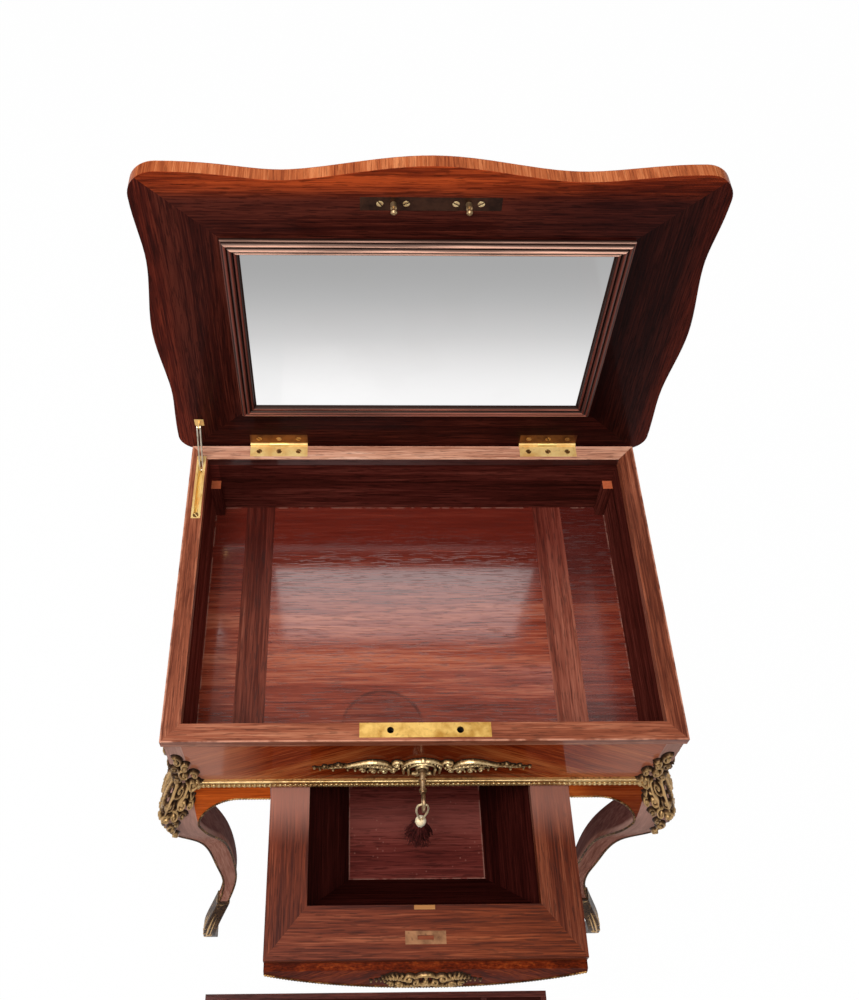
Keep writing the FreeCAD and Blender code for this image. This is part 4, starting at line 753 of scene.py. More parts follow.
def leaf(points, breadth, height, lobes, rib=0.9):
    # a rib with pairs of lobes
    line = smoothLine(points, 4 * lobes + 2)
    run = np.gradient(line, axis=0)
    run /= np.linalg.norm(run, axis=1)[:, None]
    made = [ridge(points, (rib * 1.3, rib, rib * 0.5), (height, height, height * 0.5))]
    for k in range(lobes):
        at = 4 * k + 1
        reach = breadth * math.sin(math.pi * (0.22 + 0.70 * k / max(1, lobes - 1)))
        for side in (1, -1):
            out = side * np.array((-run[at][1], run[at][0]))
            bend = line[at] + (out * 0.62 + run[at] * 0.12) * reach
            tip = line[at] + (out * 0.86 + run[at] * 0.62) * reach
            made.append(ridge((line[at], bend, tip), (0.26 * reach, 0.27 * reach, 0.10 * reach),
                              (height * 0.85, height * 0.8, height * 0.3), 8))
    return made


def fan(foot, middle, tip, widths, heights, angles):
    # ridges that spread downwards
    made = []
    for a in angles:
        across, down = math.sin(a), math.cos(a)
        line = ((0, foot), (middle * across, foot - middle * down), (tip[0] * across, foot - tip[1] * down))
        made.append(ridge(line, widths, heights))
    return made


def moved(strokes, scale, shift=(0, 0)):
    return [(line * np.array(scale) + np.array(shift), widths, heights) for line, widths, heights in strokes]


def mirrored(strokes):
    return strokes + moved(strokes, (-1, 1))


def strokeHeights(u, v, strokes):
    bare, margin = -3.0, 2
    best = np.full(u.shape, bare)
    for line, widths, heights in strokes:
        pad = widths.max() + margin
        near = ((u > line[:, 0].min() - pad) & (u < line[:, 0].max() + pad)
                & (v > line[:, 1].min() - pad) & (v < line[:, 1].max() + pad))
        if not near.any():
            continue
        un, vn, top = u[near], v[near], best[near]
        for k in range(len(line) - 1):
            a, step = line[k], line[k + 1] - line[k]
            t = np.clip(((un - a[0]) * step[0] + (vn - a[1]) * step[1]) / max(step @ step, 1e-9), 0, 1)
            away = np.hypot(un - a[0] - t * step[0], vn - a[1] - t * step[1])
            width = widths[k] + t * (widths[k + 1] - widths[k])
            height = heights[k] + t * (heights[k + 1] - heights[k])
            raised = height * np.sqrt(np.clip(1 - (away / width) ** 2, 0, 1))
            top = np.maximum(top, np.where(away < width, raised, width - away))
        best[near] = top
    return best


def reliefMesh(name, strokes, uSpan, vSpan, step, place, copies, sunk):
    # the raised sheet with a back sunk in the wood, closed round its outline
    crest, outline, lowest = 92, -0.2, -0.6
    us = np.arange(uSpan[0], uSpan[1] + step, step)
    vs = np.arange(vSpan[0], vSpan[1] + step, step)
    u, v = np.meshgrid(us, vs)
    raised = strokeHeights(u, v, strokes)
    full = max(1.0, np.percentile(raised[raised > 0], crest))
    highest = np.maximum.reduce([raised[:-1, :-1], raised[1:, :-1], raised[:-1, 1:], raised[1:, 1:]])
    index = np.arange(u.size).reshape(u.shape)
    quads = np.stack([index[:-1, :-1], index[:-1, 1:], index[1:, 1:], index[1:, :-1]], -1)[highest > outline]
    used, packed = np.unique(quads, return_inverse=True)
    quads = packed.reshape(quads.shape)
    edges = np.concatenate([quads[:, [k, (k + 1) % 4]] for k in range(4)])
    _, first, count = np.unique(np.sort(edges, 1), axis=0, return_index=True, return_counts=True)
    rim = edges[first[count == 1]]
    uu, vv, hh = u.ravel()[used], v.ravel()[used], raised.ravel()[used]
    front = place(uu, vv, np.maximum(hh, lowest))
    back = place(uu, vv, np.full(uu.shape, -sunk))
    total = len(used)
    faces = np.concatenate([quads, quads[:, ::-1] + total,
                            np.stack([rim[:, 1], rim[:, 0], rim[:, 0] + total, rim[:, 1] + total], 1)])
    sheet = np.concatenate([front, back])
    tone = np.concatenate([np.clip(hh / full, 0, 1), np.zeros(total)])
    points, allFaces = [], []
    for k, (signX, signY) in enumerate(copies):
        points.append(sheet * np.array((signX, signY, 1)))
        turned = faces if signX * signY > 0 else faces[:, ::-1]
        allFaces.append(turned + k * len(sheet))
    return newMesh(name, np.concatenate(points).tolist(), np.concatenate(allFaces).tolist(),
                   np.tile(tone, len(copies)), True)


def onWall(u, v, h):
    # front wall of the box, measured from the keyhole
    wall = halfY - case["wallOut"]
    return np.stack([u / 1000, -wall - h / 1000, case["keyHeight"] + v / 1000], 1)


def onDrawer(u, v, h):
    # front of the drawer, measured from the middle of its mount
    z = case["drawerTop"] - case["mountDrop"] + v / 1000
    return np.stack([u / 1000, outerAt(z) - halfY - case["drawerPull"] - h / 1000, z], 1)


def onCorner(u, v, h):
    # round the front left corner: u is to the right on the front face, to the back on the side face
    bend = 6
    z = v / 1000
    inset = outerAt(z)
    turn = np.radians(45) * np.clip(1 - np.abs(u) / bend, 0, 1)
    main, other = h / 1000 * np.cos(turn), h / 1000 * np.sin(turn)
    front = u >= 0
    x = np.where(front, inset + u / 1000 - other, inset - main)
    y = np.where(front, inset - main, inset - u / 1000 - other)
    return np.stack([x - halfX, y - halfY, z], 1)


corners = ((1, 1), (-1, 1), (1, -1), (-1, -1))


def beadLine(points, count, width, height):
    return [boss(u, v, width, height) for u, v in smoothLine(points, count)]


def shadowPlated(strokes, margin):
    # a low dark plate a little wider than every stroke, a painted shadow round the ornament
    return strokes + [(line, widths + margin, np.full(len(line), 0.35)) for line, widths, _ in strokes]


def keyholeMount():
    half = [ridge(((0, 18.5), (9, 17.5), (17, 12.5), (22, 5)), (1.5, 1.5, 1.4, 1.2), (5.5, 5.2, 4.6, 4)),
            ridge(((0, 11), (7, 10.2), (12, 6), (14.5, 0)), (1.2, 1.2, 1.1, 1.0), (4.8, 4.6, 4.2, 3.6)),
            curl(27.5, 10, 6.5, 200, 1.3, 1.6, 4.8, -1), boss(27.5, 10, 2.2, 5),
            ridge(((33, 4), (42, 13.5), (56, 16), (72, 10), (86, 3)), (1.2, 1.7, 1.7, 1.5, 1.0),
                  (4, 5.2, 5.4, 4.5, 3)),
            ridge(((14, -13), (14.5, -2)), (1.6, 1.6), (4.6, 4.6)),
            ridge(((19.5, -11), (20, 0)), (1.5, 1.5), (4, 4)),
            curl(41, -6, 4.6, 20, 1.3, 1.4, 4.2), curl(53, -6, 4.2, 20, 1.3, 1.3, 4),
            curl(64, -4.5, 3.8, 20, 1.2, 1.2, 3.8), curl(31, -5, 4.2, 160, 1.3, 1.4, 4.2, -1)]
    half += beadLine(((0, 14.8), (8, 14), (14.5, 9.5), (18.5, 3)), 6, 1.5, 4.6)
    half += beadLine(((36, 7), (44, 11.5), (56, 12.8), (70, 7.5)), 9, 1.2, 4.2)
    half += leaf(((34, 0), (46, 5), (60, 6), (78, 1)), 6.5, 4.6, 9)
    half += leaf(((76, 3), (88, 4), (102, 1), (115, 1)), 5.0, 3.4, 8)
    half += [boss(*spot) for spot in (
        (9, -12, 2.2, 4.6), (25, 0, 1.7, 4), (47, -9, 1.5, 3.6), (58.5, -8, 1.5, 3.6), (72, -5, 1.7, 3.6),
        (80, -3.5, 1.7, 3.4), (90, 9, 2.0, 3.8), (96, -4, 1.8, 3.4), (105, 5, 1.8, 3.2), (110, -3, 1.5, 3),
        (116, 1, 2.0, 3.4))]
    half += fan(-6, 9, (15, 14), (1.2, 1.8, 1.2), (3.6, 4.6, 3), (0, 0.42, 0.84))
    turn = np.linspace(0, math.pi, 14)
    ring = (np.stack([6.0 * np.sin(turn), 5.4 * np.cos(turn)], 1), np.full(14, 1.4), np.full(14, 4.6))
    return shadowPlated(moved(mirrored(half + [ring, boss(0, 19, 2.8, 6.4)]), (1, 1.2)), 1.1)


def drawerMount():
    half = [ridge(((0, 11.5), (6, 10.5), (11, 7)), (1.6, 1.5, 1.2), (4.4, 4.2, 3.6)),
            curl(17, 5, 6, 160, 1.3, 1.4, 4.4, -1), boss(17, 5, 2.0, 4.4),
            curl(8.5, -3, 4.6, 100, 1.2, 1.3, 4.2, -1), curl(27, -6, 4.2, 20, 1.3, 1.3, 4),
            curl(36, -4, 3.6, 20, 1.2, 1.2, 3.8)]
    half += leaf(((12, -8), (22, -9), (32, -8), (42, -5)), 4.5, 3.6, 7)
    half += leaf(((22, 3), (30, 7), (38, 6), (47, 3)), 5.5, 4.0, 7)
    half += beadLine(((42, 0), (48, 1.5), (56, 0)), 4, 1.5, 3)
    half += [boss(*spot) for spot in ((24, 10, 1.6, 3.6), (34, 11, 1.6, 3.4), (44, 6.5, 1.6, 3),
                                      (31, -11, 1.6, 3.2), (11, -11, 1.7, 3.6))]
    half += fan(-2, 5, (9, 9), (1.0, 1.5, 1.0), (3.4, 4.2, 2.8), (0, 0.5, 1.0))
    return shadowPlated(mirrored(half + [boss(0, -1, 3.2, 5), boss(0, 8.5, 2.2, 5.4)]), 0.8)


def cornerMount():
    # scrolls packed side by side, drawn out along the line of the knee
    scrolls = ((9, 84, 5.2, 120, -1), (16, 77, 4.4, 30, 1), (4.5, 74, 4.4, 200, 1), (12.5, 67, 6.4, 60, 1),
               (23.5, 67, 4.2, 150, -1), (4, 60, 4.2, 100, -1), (20, 56, 6.0, 40, -1), (9, 50, 5.6, 140, 1),
               (27.5, 54, 3.2, 0, 1), (17.5, 42, 5.8, 70, 1), (4.5, 39, 4.6, 30, -1), (26, 41, 3.8, 120, -1),
               (11.5, 31, 5.2, 110, -1), (21, 30.5, 4.2, 10, 1), (4, 28, 3.8, 60, 1), (8, 14, 5.2, 60, 1),
               (14, 20.5, 3.4, 150, -1), (7, 4.5, 3.4, 90, -1))
    foot, stretch = 467, 2.17
    half = []
    for k, (u, v, radius, start, hand) in enumerate(scrolls):
        tall = 5.6 + 1.4 * math.sin(2.3 * k)
        half += [curl(u, v, radius, start, 1.35, 1.7, tall, hand), boss(u, v, 0.34 * radius, tall + 0.6)]
    half += [ridge(((2, 58), (4.5, 47), (3, 32)), (1.4, 1.8, 1.2), (5.6, 6, 4.6)),
             ridge(((12, 57), (16, 49), (13, 36)), (1.3, 1.9, 1.2), (6, 6.8, 5)),
             ridge(((22, 49), (25, 46), (27, 47)), (1.3, 1.7, 1.2), (5, 5.6, 4))]
    strokes = mirrored(half) + [boss(0, 76 - 6 * k, 2.2, 3.4) for k in range(10)]
    return shadowPlated(moved(strokes, (1, stretch), (0, foot)), 1.3)


def shoe():
    half = [ridge(((2.5, 14), (4, 44), (3, 94)), (1.5, 1.8, 1.0), (3.2, 3.6, 2.2)),
            ridge(((6, 14), (8.5, 46), (6.5, 92)), (1.4, 1.6, 1.0), (2.8, 3.2, 2.0)),
            ridge(((9.5, 16), (12, 48), (10.5, 90)), (1.2, 1.4, 0.9), (2.2, 2.6, 1.8)),
            ridge(((0, 98), (6, 95), (12, 98)), (1.5, 1.6, 1.2), (3, 3, 2.2)),
            curl(6, 24, 4.4, 90, 1.3, 1.4, 3.6, -1), boss(6, 24, 1.7, 4)]
    return mirrored(half) + [boss(0, 16, 3.6, 4.2), boss(0, 30, 3.0, 4.2), boss(0, 44, 2.4, 3.8)]


def casting(name, strokes, uSpan, vSpan, step, place, body, metal, standsFor=(), copies=((1, 1),), sunk=1.5):
    mesh = reliefMesh(name, strokes, uSpan, vSpan, step, place, copies, sunk)
    addPiece(name, mesh, body, metal, standsFor)


casting("keyholeCasting", keyholeMount(), (-120, 120), (-30, 30), 0.6, onWall, "carcase", giltMetal,
        ["escutcheon_mount"])
casting("drawerCasting", drawerMount(), (-60, 60), (-16, 16), 0.6, onDrawer, "drawer", castMetal,
        ["drawer_front_mount"])
casting("cornerCastings", cornerMount(), (-36, 36), (462, 668), 1.0, onCorner, "carcase", castMetal,
        ["corner_mounts"], corners)
casting("shoeCastings", shoe(), (-24, 24), (4, 106), 1.0, onCorner, "carcase", castMetal, (), corners, 3.0)
print("castings done")


# pieces grown along lines by Geometry Nodes, one node tree for each kind
class Builder(Wiring):
    def __init__(self, name, inputs):
        self.tree = bpy.data.node_groups.new(name, "GeometryNodeTree")
        face = self.tree.interface
        face.new_socket("Geometry", in_out="INPUT", socket_type="NodeSocketGeometry")
        self.ids = {label: face.new_socket(label, in_out="INPUT", socket_type="NodeSocket" + kind).identifier
                    for label, kind in inputs.items()}
        face.new_socket("Geometry", in_out="OUTPUT", socket_type="NodeSocketGeometry")
        self.source = self.tree.nodes.new("NodeGroupInput")
        self.result = self.tree.nodes.new("NodeGroupOutput")

    def given(self, label):
        return Sock(self, self.source.outputs[label])

    def make(self, kind, **sockets):
        return self.node("GeometryNode" + kind, {}, {key.replace("_", " "): v for key, v in sockets.items()})

    def tube(self, line, sides, radius):
        ring = self.make("CurvePrimitiveCircle", Resolution=sides, Radius=radius)
        return self.make("CurveToMesh", Curve=line, Profile_Curve=ring, Fill_Caps=True)

    def end(self, geometry):
        whole = self.make("RealizeInstances", Geometry=geometry)
        smooth = self.make("SetShadeSmooth", Geometry=whole)
        dressed = self.make("SetMaterial", Geometry=smooth, Material=self.given("Material"))
        self.wire(dressed, self.result.inputs["Geometry"])


def evaluated(thing):
    # the plain mesh of an object as it stands, without the object
    scene.collection.objects.link(thing)
    made = bpy.data.meshes.new_from_object(thing.evaluated_get(bpy.context.evaluated_depsgraph_get()))
    bpy.data.objects.remove(thing)
    return made


def grow(name, paths, builder, body, slotName, standsFor=(), **values):
    # adds the piece that a tree makes from polylines
    points, edges = [], []
    for path in paths:
        first = len(points)
        points += [tuple(p) for p in path]
        edges += [(first + k, first + k + 1) for k in range(len(path) - 1)]
    mesh = bpy.data.meshes.new(name)
    mesh.from_pydata(points, edges, [])
    source = bpy.data.objects.new(name, mesh)
    modifier = source.modifiers.new("grow", "NODES")
    modifier.node_group = builder.tree
    for label, value in values.items():
        modifier[builder.ids[label]] = value
    return addPiece(name, evaluated(source), body, None, standsFor)


def beadBuilder():
    # round beads along a path, on a thin wire
    b = Builder("beadRow", {"Pitch": "Float", "Size": "Vector", "Wire": "Float", "Material": "Material"})
    line = b.make("MeshToCurve", Mesh=b.given("Geometry"))
    spacing = {"Curve": line, "Length": b.given("Pitch")}
    spaced = b.node("GeometryNodeResampleCurve", {"mode": "LENGTH"}, spacing)
    bead = b.make("MeshUVSphere", Segments=8, Rings=5, Radius=1.0)
    beads = b.make("InstanceOnPoints", Points=spaced, Instance=bead, Scale=b.given("Size"))
    b.end(b.make("JoinGeometry", Geometry=[beads, b.tube(line, 6, b.given("Wire"))]))
    return b


beadRow = beadBuilder()
edging = {"pitch": 0.0031, "radius": 0.0015, "wire": 0.0009, "foot": 0.096, "cornerFoot": 0.100,
          "cornerTop": 0.470, "clear": 0.0017}


def legEdges(p):
    # bead lines of the front left corner: both inner edges with their arches, and the corner edge
    up = np.linspace(p["foot"], case["knee"], 60)
    arch = np.linspace(0, math.pi / 2, 22)[1:]
    z = np.concatenate([up, case["knee"] + (case["archTop"] - case["knee"]) * np.sin(arch)])
    archInset = case["joint"] + case["archRun"] * (1 - np.cos(arch))
    inset = np.concatenate([innerAt(up[:-1]), [case["joint"]], archInset])
    face = outerAt(z)
    front = np.stack([inset - halfX, face - halfY, z], 1)
    side = np.stack([face - halfX, inset - halfY, z], 1)
    edgeZ = np.linspace(p["cornerFoot"], p["cornerTop"], 60)
    edge = np.stack([outerAt(edgeZ) - halfX, outerAt(edgeZ) - halfY, edgeZ], 1)
    return front, side, edge


def archMiddle(half, drop, face, swap):
    # the lower edge of an apron between its two arches
    along = np.linspace(-half, half, 60)
    z = case["archTop"] - drop * (1 - (along / half) ** 2)
    out = outerAt(z) - face
    return np.stack([out, along, z] if swap else [along, out, z], 1)


def bothSides(path):
    return [path, path * np.array((-1, 1, 1))]


def edgingPaths(p):
    paths = [path * np.array((signX, signY, 1)) for signX, signY in corners for path in legEdges(p)]
    archX, archY = (half - case["joint"] - case["archRun"] for half in (halfX, halfY))
    flat = np.linspace(-archX, -case["drawerSide"] - p["clear"], 6)
    run = np.stack([flat, np.full(6, outerAt(case["archTop"]) - halfY), np.full(6, case["archTop"])], 1)
    paths += bothSides(run)
    paths.append(archMiddle(archX, case["backDrop"], halfY, False) * np.array((1, -1, 1)))
    return paths + bothSides(archMiddle(archY, case["sideDrop"], halfX, True))


def beads(name, paths, body, size, pitch, wire, material):
    grow(name, paths, beadRow, body, "gilt_bronze", Pitch=pitch, Size=size, Wire=wire, Material=material)


drawerLine = {"half": 0.1636, "ends": 0.561, "middle": 0.535}


def drawerEdge(p):
    # the lower edge of the drawer's front, an arc
    along = np.linspace(-p["half"], p["half"], 60)
    drop = p["ends"] - p["middle"]
    radius = (p["half"] ** 2 + drop ** 2) / (2 * drop)
    z = p["middle"] + radius - np.sqrt(radius ** 2 - along ** 2)
    return np.stack([along, outerAt(z) - halfY - case["drawerPull"], z], 1)


for name, paths, body in (("edgeBeads", edgingPaths(edging), "carcase"),
                          ("drawerBeads", [drawerEdge(drawerLine)], "drawer")):
    beads(name, paths, body, (edging["radius"],) * 3, edging["pitch"], edging["wire"], beadMetal)

# gilt strip below the box: a row of lobes under a round rod
strip = {"rod": 0.5886, "lobes": 0.5838, "front": 0.2500, "side": 0.1690, "pitch": 0.0056}
lobe = {"along": 0.0024, "out": 0.0019, "tall": 0.0034, "lift": 0.0040, "wire": 0.0004}
rod = {"radius": 0.0018, "lift": 0.0028}


def stripPaths(height, lift):
    out = outerAt(height) - lift
    y, x = out - halfY, out - halfX
    front = np.array([(-strip["front"], y, height), (strip["front"], y, height)])
    side = np.array([(x, -strip["side"], height), (x, strip["side"], height)])
    return front, bothSides(side)


stripGold = plateMetal("stripGold", "strip")
lobeFront, lobeSides = stripPaths(strip["lobes"], lobe["lift"])
rodFront, rodSides = stripPaths(strip["rod"], rod["lift"])
for name, paths, size, wire in (
        ("stripLobesFront", [lobeFront], (lobe["along"], lobe["out"], lobe["tall"]), lobe["wire"]),
        ("stripLobesSides", lobeSides, (lobe["out"], lobe["along"], lobe["tall"]), lobe["wire"]),
        ("stripRods", [rodFront, *rodSides], (rod["radius"],) * 3, rod["radius"])):
    beads(name, paths, "carcase", size, strip["pitch"], wire, stripGold)
print("edgings done")


# mirror frame: three round reeds and a cove, mitred
mirrorFrame = {"halfX": 0.1875, "low": 0.7785, "high": 1.0102, "wide": 0.0185, "face": 0.1935,
               "reeds": ((0.0042, 0.0027, 0.0050), (0.0095, 0.0026, 0.0064), (0.0144, 0.0023, 0.0050))}


def frameSection(p):
    # across from the outer edge, out from the lid, both in metres, and how far up its reed
    made = [(0.0, -0.0002, 0.0), (0.0, 0.0040, 0.9), (0.0012, 0.0043, 0.9), (0.0013, 0.0036, 0.0)]
    for middle, radius, base in p["reeds"]:
        for k in range(11):
            a = math.pi * (1.12 - 1.24 * k / 10)
            made.append((middle + radius * math.cos(a), base + radius * math.sin(a), max(0.0, math.sin(a))))
    return made + [(0.0172, 0.0034, 0.0), (p["wide"], 0.0031, 0.5), (p["wide"], -0.0002, 0.0)]


def frameStrip(name, p, horizontal, end):
    middleZ, halfZ = (p["low"] + p["high"]) / 2, (p["high"] - p["low"]) / 2
    long, wide = (p["halfX"], halfZ) if horizontal else (halfZ, p["halfX"])
    section = frameSection(p)
    points = []
    for side in (-1, 1):
        for across, out, _ in section:
            inwards = p["wide"] - across
            a, b = side * (long + inwards), end * (wide + inwards)
            x, z = (a, middleZ + b) if horizontal else (b, middleZ + a)
            points.append((x, p["face"] - out, z))
    n = len(section)
    faces = [(k, (k + 1) % n, (k + 1) % n + n, k + n) for k in range(n)]
    faces += [tuple(range(n - 1, -1, -1)), tuple(range(n, 2 * n))]
    if (end > 0) != horizontal:
        faces = [face[::-1] for face in faces]
    mesh = newMesh(name, points, faces, [high for _, _, high in section] * 2, True)
    mesh.set_sharp_from_angle(angle=math.radians(40))
    return mesh


for label, horizontal, end, reed in (("Top", True, 1, mouldX), ("Bottom", True, -1, mouldLow),
                                     ("Left", False, -1, mouldZ), ("Right", False, 1, mouldZ)):
    mesh = frameStrip("frame" + label, mirrorFrame, horizontal, end)
    addPiece("frame" + label, mesh, "lid", reed, ["mirror_moulding_" + label.lower()])
print("mirror frame done")


# tassel on the key: a gilt cord loop, a turned ball and a skirt of threads
tassel = {"y": -0.228, "ball": 0.566, "ballSize": 0.0062, "cord": 0.0023, "skirtTop": 0.5585,
          "hem": 0.5190, "neck": 0.0036, "hemRadius": 0.0165, "threads": 260, "thread": 0.0005,
          "anchor": 0.6203, "keep": 0.33, "wave": 0.0012}
halfLoop = [(-0.0010, 0.5712), (-0.0040, 0.5830), (-0.0066, 0.5990), (-0.0058, 0.6115), (-0.0034, 0.6190)]
loopPoints = halfLoop + [(-x, z) for x, z in halfLoop[::-1]]


def cordLine(points):
    # the smooth line through a cord's route
    curve = bpy.data.curves.new("cordRoute", "CURVE")
    curve.dimensions = "3D"
    curve.resolution_u = 8
    spline = curve.splines.new("NURBS")
    spline.points.add(len(points) - 1)
    for knot, point in zip(spline.points, points):
        knot.co = (*point, 1)
    spline.order_u = 3
    spline.use_endpoint_u = True
    line = evaluated(bpy.data.objects.new("cordRoute", curve))
    made = [v.co.copy() for v in line.vertices]
    bpy.data.meshes.remove(line)
    return made


def threadBuilder():
    # a round thread along each path
    b = Builder("threadRow", {"Thickness": "Float", "Sides": "Int", "Material": "Material"})
    line = b.make("MeshToCurve", Mesh=b.given("Geometry"))
    b.end(b.tube(line, b.given("Sides"), b.given("Thickness")))
    return b


threadRow = threadBuilder()


def lathe(name, profile, y, segments):
    # turns (radius, height) pairs round an upright axis
    turn = np.linspace(0, 2 * math.pi, segments, endpoint=False)
    points, faces = [], []
    for radius, height in profile:
        points += [(radius * math.cos(a), y + radius * math.sin(a), height) for a in turn]
    for row in range(len(profile) - 1):
        for k in range(segments):
            a, b = row * segments + k, row * segments + (k + 1) % segments
            faces.append((a, b, b + segments, a + segments))
    last = (len(profile) - 1) * segments
    faces += [tuple(range(segments - 1, -1, -1)), tuple(range(last, last + segments))]
    mesh = newMesh(name, points, faces, smooth=True)
    mesh.set_sharp_from_angle(angle=math.radians(50))
    return mesh


def skirtThreads(p):
    # each thread leaves the collar and hangs in a slightly wavy line to the hem
    dice = np.random.default_rng(7)
    paths = []
    drop = np.linspace(0, 1, 9)
    for _ in range(p["threads"]):
        angle = dice.uniform(0, 2 * math.pi)
        spread = math.sqrt(dice.uniform(0.02, 1))
        length = dice.uniform(0.93, 1.0)
        reach = spread * (p["neck"] + (p["hemRadius"] - p["neck"]) * (drop * length) ** 0.8)
        wave = p["wave"] * np.sin(drop * dice.uniform(3, 8) + dice.uniform(0, 6)) * drop
        x = reach * math.cos(angle) + wave
        y = p["y"] + reach * math.sin(angle) - wave
        z = p["skirtTop"] - (p["skirtTop"] - p["hem"]) * drop * length
        paths.append(np.stack([x, y, z], 1))
    return paths


def makeTassel(p):
    gilt = threadSilk("giltThread", (196, 156, 92), (250, 232, 190), 0.2)
    maroon = threadSilk("maroonThread", (50, 12, 9), (104, 34, 28), 0.0)
    gold = plateMetal("ballGold", "ball")
    line = cordLine([(x, p["y"], z) for x, z in loopPoints])
    loop = grow("tasselLoop", [line], threadRow, "tassel", "thread", Thickness=p["cord"] / 2, Sides=8,
                Material=gilt)
    r, z = p["ballSize"], p["ball"]
    arc = [(r * math.sin(a), z - r * math.cos(a)) for a in np.linspace(0.75, 2.72, 11)]
    profile = [(0.0040, z - 0.0086), (0.0047, z - 0.0080), (0.0047, z - 0.0066), (0.0036, z - 0.0060), *arc,
               (0.0016, z + 0.0046)]
    ball = addPiece("tasselBall", lathe("tasselBall", profile, p["y"], 28), "tassel", gold)
    skirt = grow("tasselSkirt", skirtThreads(p), threadRow, "tassel", "thread", ["key_tassel"],
                 Thickness=p["thread"], Sides=4, Material=maroon)
    for piece in (loop, ball, skirt):
        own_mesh(piece)


makeTassel(tassel)


# two turned collars on the key's shank: radius, and distance in front of the table's middle
def keyCollars(height):
    profile = [(0.0028, 0.1930), (0.0050, 0.1936), (0.0050, 0.1954), (0.0031, 0.1962), (0.0030, 0.2022),
               (0.0042, 0.2028), (0.0042, 0.2046), (0.0028, 0.2052)]
    mesh = lathe("keyCollars", profile, 0, 20)
    mesh.transform(Matrix.Translation((0, 0, height)) @ Matrix.Rotation(math.pi / 2, 4, "X"))
    return mesh


addPiece("keyCollars", keyCollars(case["keyHeight"]), "key", keyMetal)

# brass lining of the stay's slot
channel = {"outer": 0.00283, "inner": 0.00268, "foot": 0.6862, "floor": 0.6868, "top": 0.6978, "end": 0.0072}


def stayChannel(p):
    low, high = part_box("stay_plate")
    outer, inner, foot, floor, top = (p[k] for k in ("outer", "inner", "foot", "floor", "top"))
    section = ((-outer, foot), (outer, foot), (outer, top), (inner, top), (inner, floor), (-inner, floor),
               (-inner, top), (-outer, top))
    middle = (low.x + high.x) / 2
    points = [(middle + x, y, z) for y in (low.y + p["end"], high.y - p["end"]) for x, z in section]
    faces = [(k, (k + 1) % 8, (k + 1) % 8 + 8, k + 8) for k in range(8)]
    faces += [(7, 6, 5, 0), (5, 4, 1, 0), (4, 3, 2, 1), (8, 13, 14, 15), (8, 9, 12, 13), (9, 10, 11, 12)]
    return newMesh("stayChannel", points, [face[::-1] for face in faces])


addPiece("stayChannel", stayChannel(channel), "carcase", plateMetal("channelBrass", "channel"))
print("tassel, key and stay done")

# slotted screws in the hinge leaves, the link plate and the stay's plate
screw = {"radius": 0.0034, "slot": 0.16, "deep": 0.35, "crown": 0.94, "slotRun": 0.97, "rise": 0.0001,
         "clear": 0.00002, "linkX": (-0.049, -0.0238, 0.0238, 0.048), "fromStayEnd": 0.0045}


def looseBoxes(name):
    # the two end corners of each separate solid in a node, told apart by the gaps along x
    points = np.array([v.co for v in nodes[name].data.vertices])
    points = points[np.argsort(points[:, 0])]
    gap = 0.002
    groups = np.split(points, np.flatnonzero(np.diff(points[:, 0]) > gap) + 1)
    return [(g.min(0), g.max(0)) for g in groups]


def screwHead(p):
    # countersunk and slotted, its top just above z = 0
    radius = p["radius"]
    slot, deep, reach = (radius * p[k] for k in ("slot", "deep", "slotRun"))
    points, faces = [], []
    for side in (1, -1):
        first = len(points)
        start = math.asin(slot / radius)
        turn = np.linspace(start, math.pi - start, 8)
        ring = [(radius * math.cos(a), side * radius * math.sin(a), 0) for a in turn]
        crown = [(p["crown"] * x, side * max(slot, abs(p["crown"] * y)), p["rise"]) for x, y, _ in ring]
        points += [(x, y, -radius) for x, y, _ in ring] + ring + crown
        rows = [(8 * a + k, 8 * a + k + 1, 8 * a + k + 9, 8 * a + k + 8) for a in (0, 1) for k in range(7)]
        rows += [tuple(range(16, 24)), (7, 0, 8, 16, 23, 15), tuple(range(7, -1, -1))]
        faces += [tuple(first + k for k in (row if side > 0 else row[::-1])) for row in rows]
    first = len(points)
    points += [(x, y, z) for z in (-deep, -radius)
               for x, y in ((-reach, -slot), (reach, -slot), (reach, slot), (-reach, slot))]
    box = ((0, 1, 2, 3), (7, 6, 5, 4), (4, 5, 1, 0), (5, 6, 2, 1), (6, 7, 3, 2), (7, 4, 0, 3))
    faces += [tuple(first + k for k in face) for face in box]
    return newMesh("screwHead", points, faces)


def screwBuilder(head):
    # one head at each point, turned by chance about its own axis
    b = Builder("screwSet", {"Facing": "Rotation", "Material": "Material"})
    shape = b.node("GeometryNodeObjectInfo", {}, {"Object": head}, "Geometry")
    spots = b.make("MeshToPoints", Mesh=b.given("Geometry"))
    placed = b.make("InstanceOnPoints", Points=spots, Instance=shape, Rotation=b.given("Facing"))
    angle = b.node("FunctionNodeRandomValue", {"data_type": "FLOAT"}, {2: 0.0, 3: 3.1, "Seed": 4}, 1)
    spin = b.node("ShaderNodeCombineXYZ", {}, {2: angle})
    b.end(b.make("RotateInstances", Instances=placed, Rotation=spin, Local_Space=True))
    return b


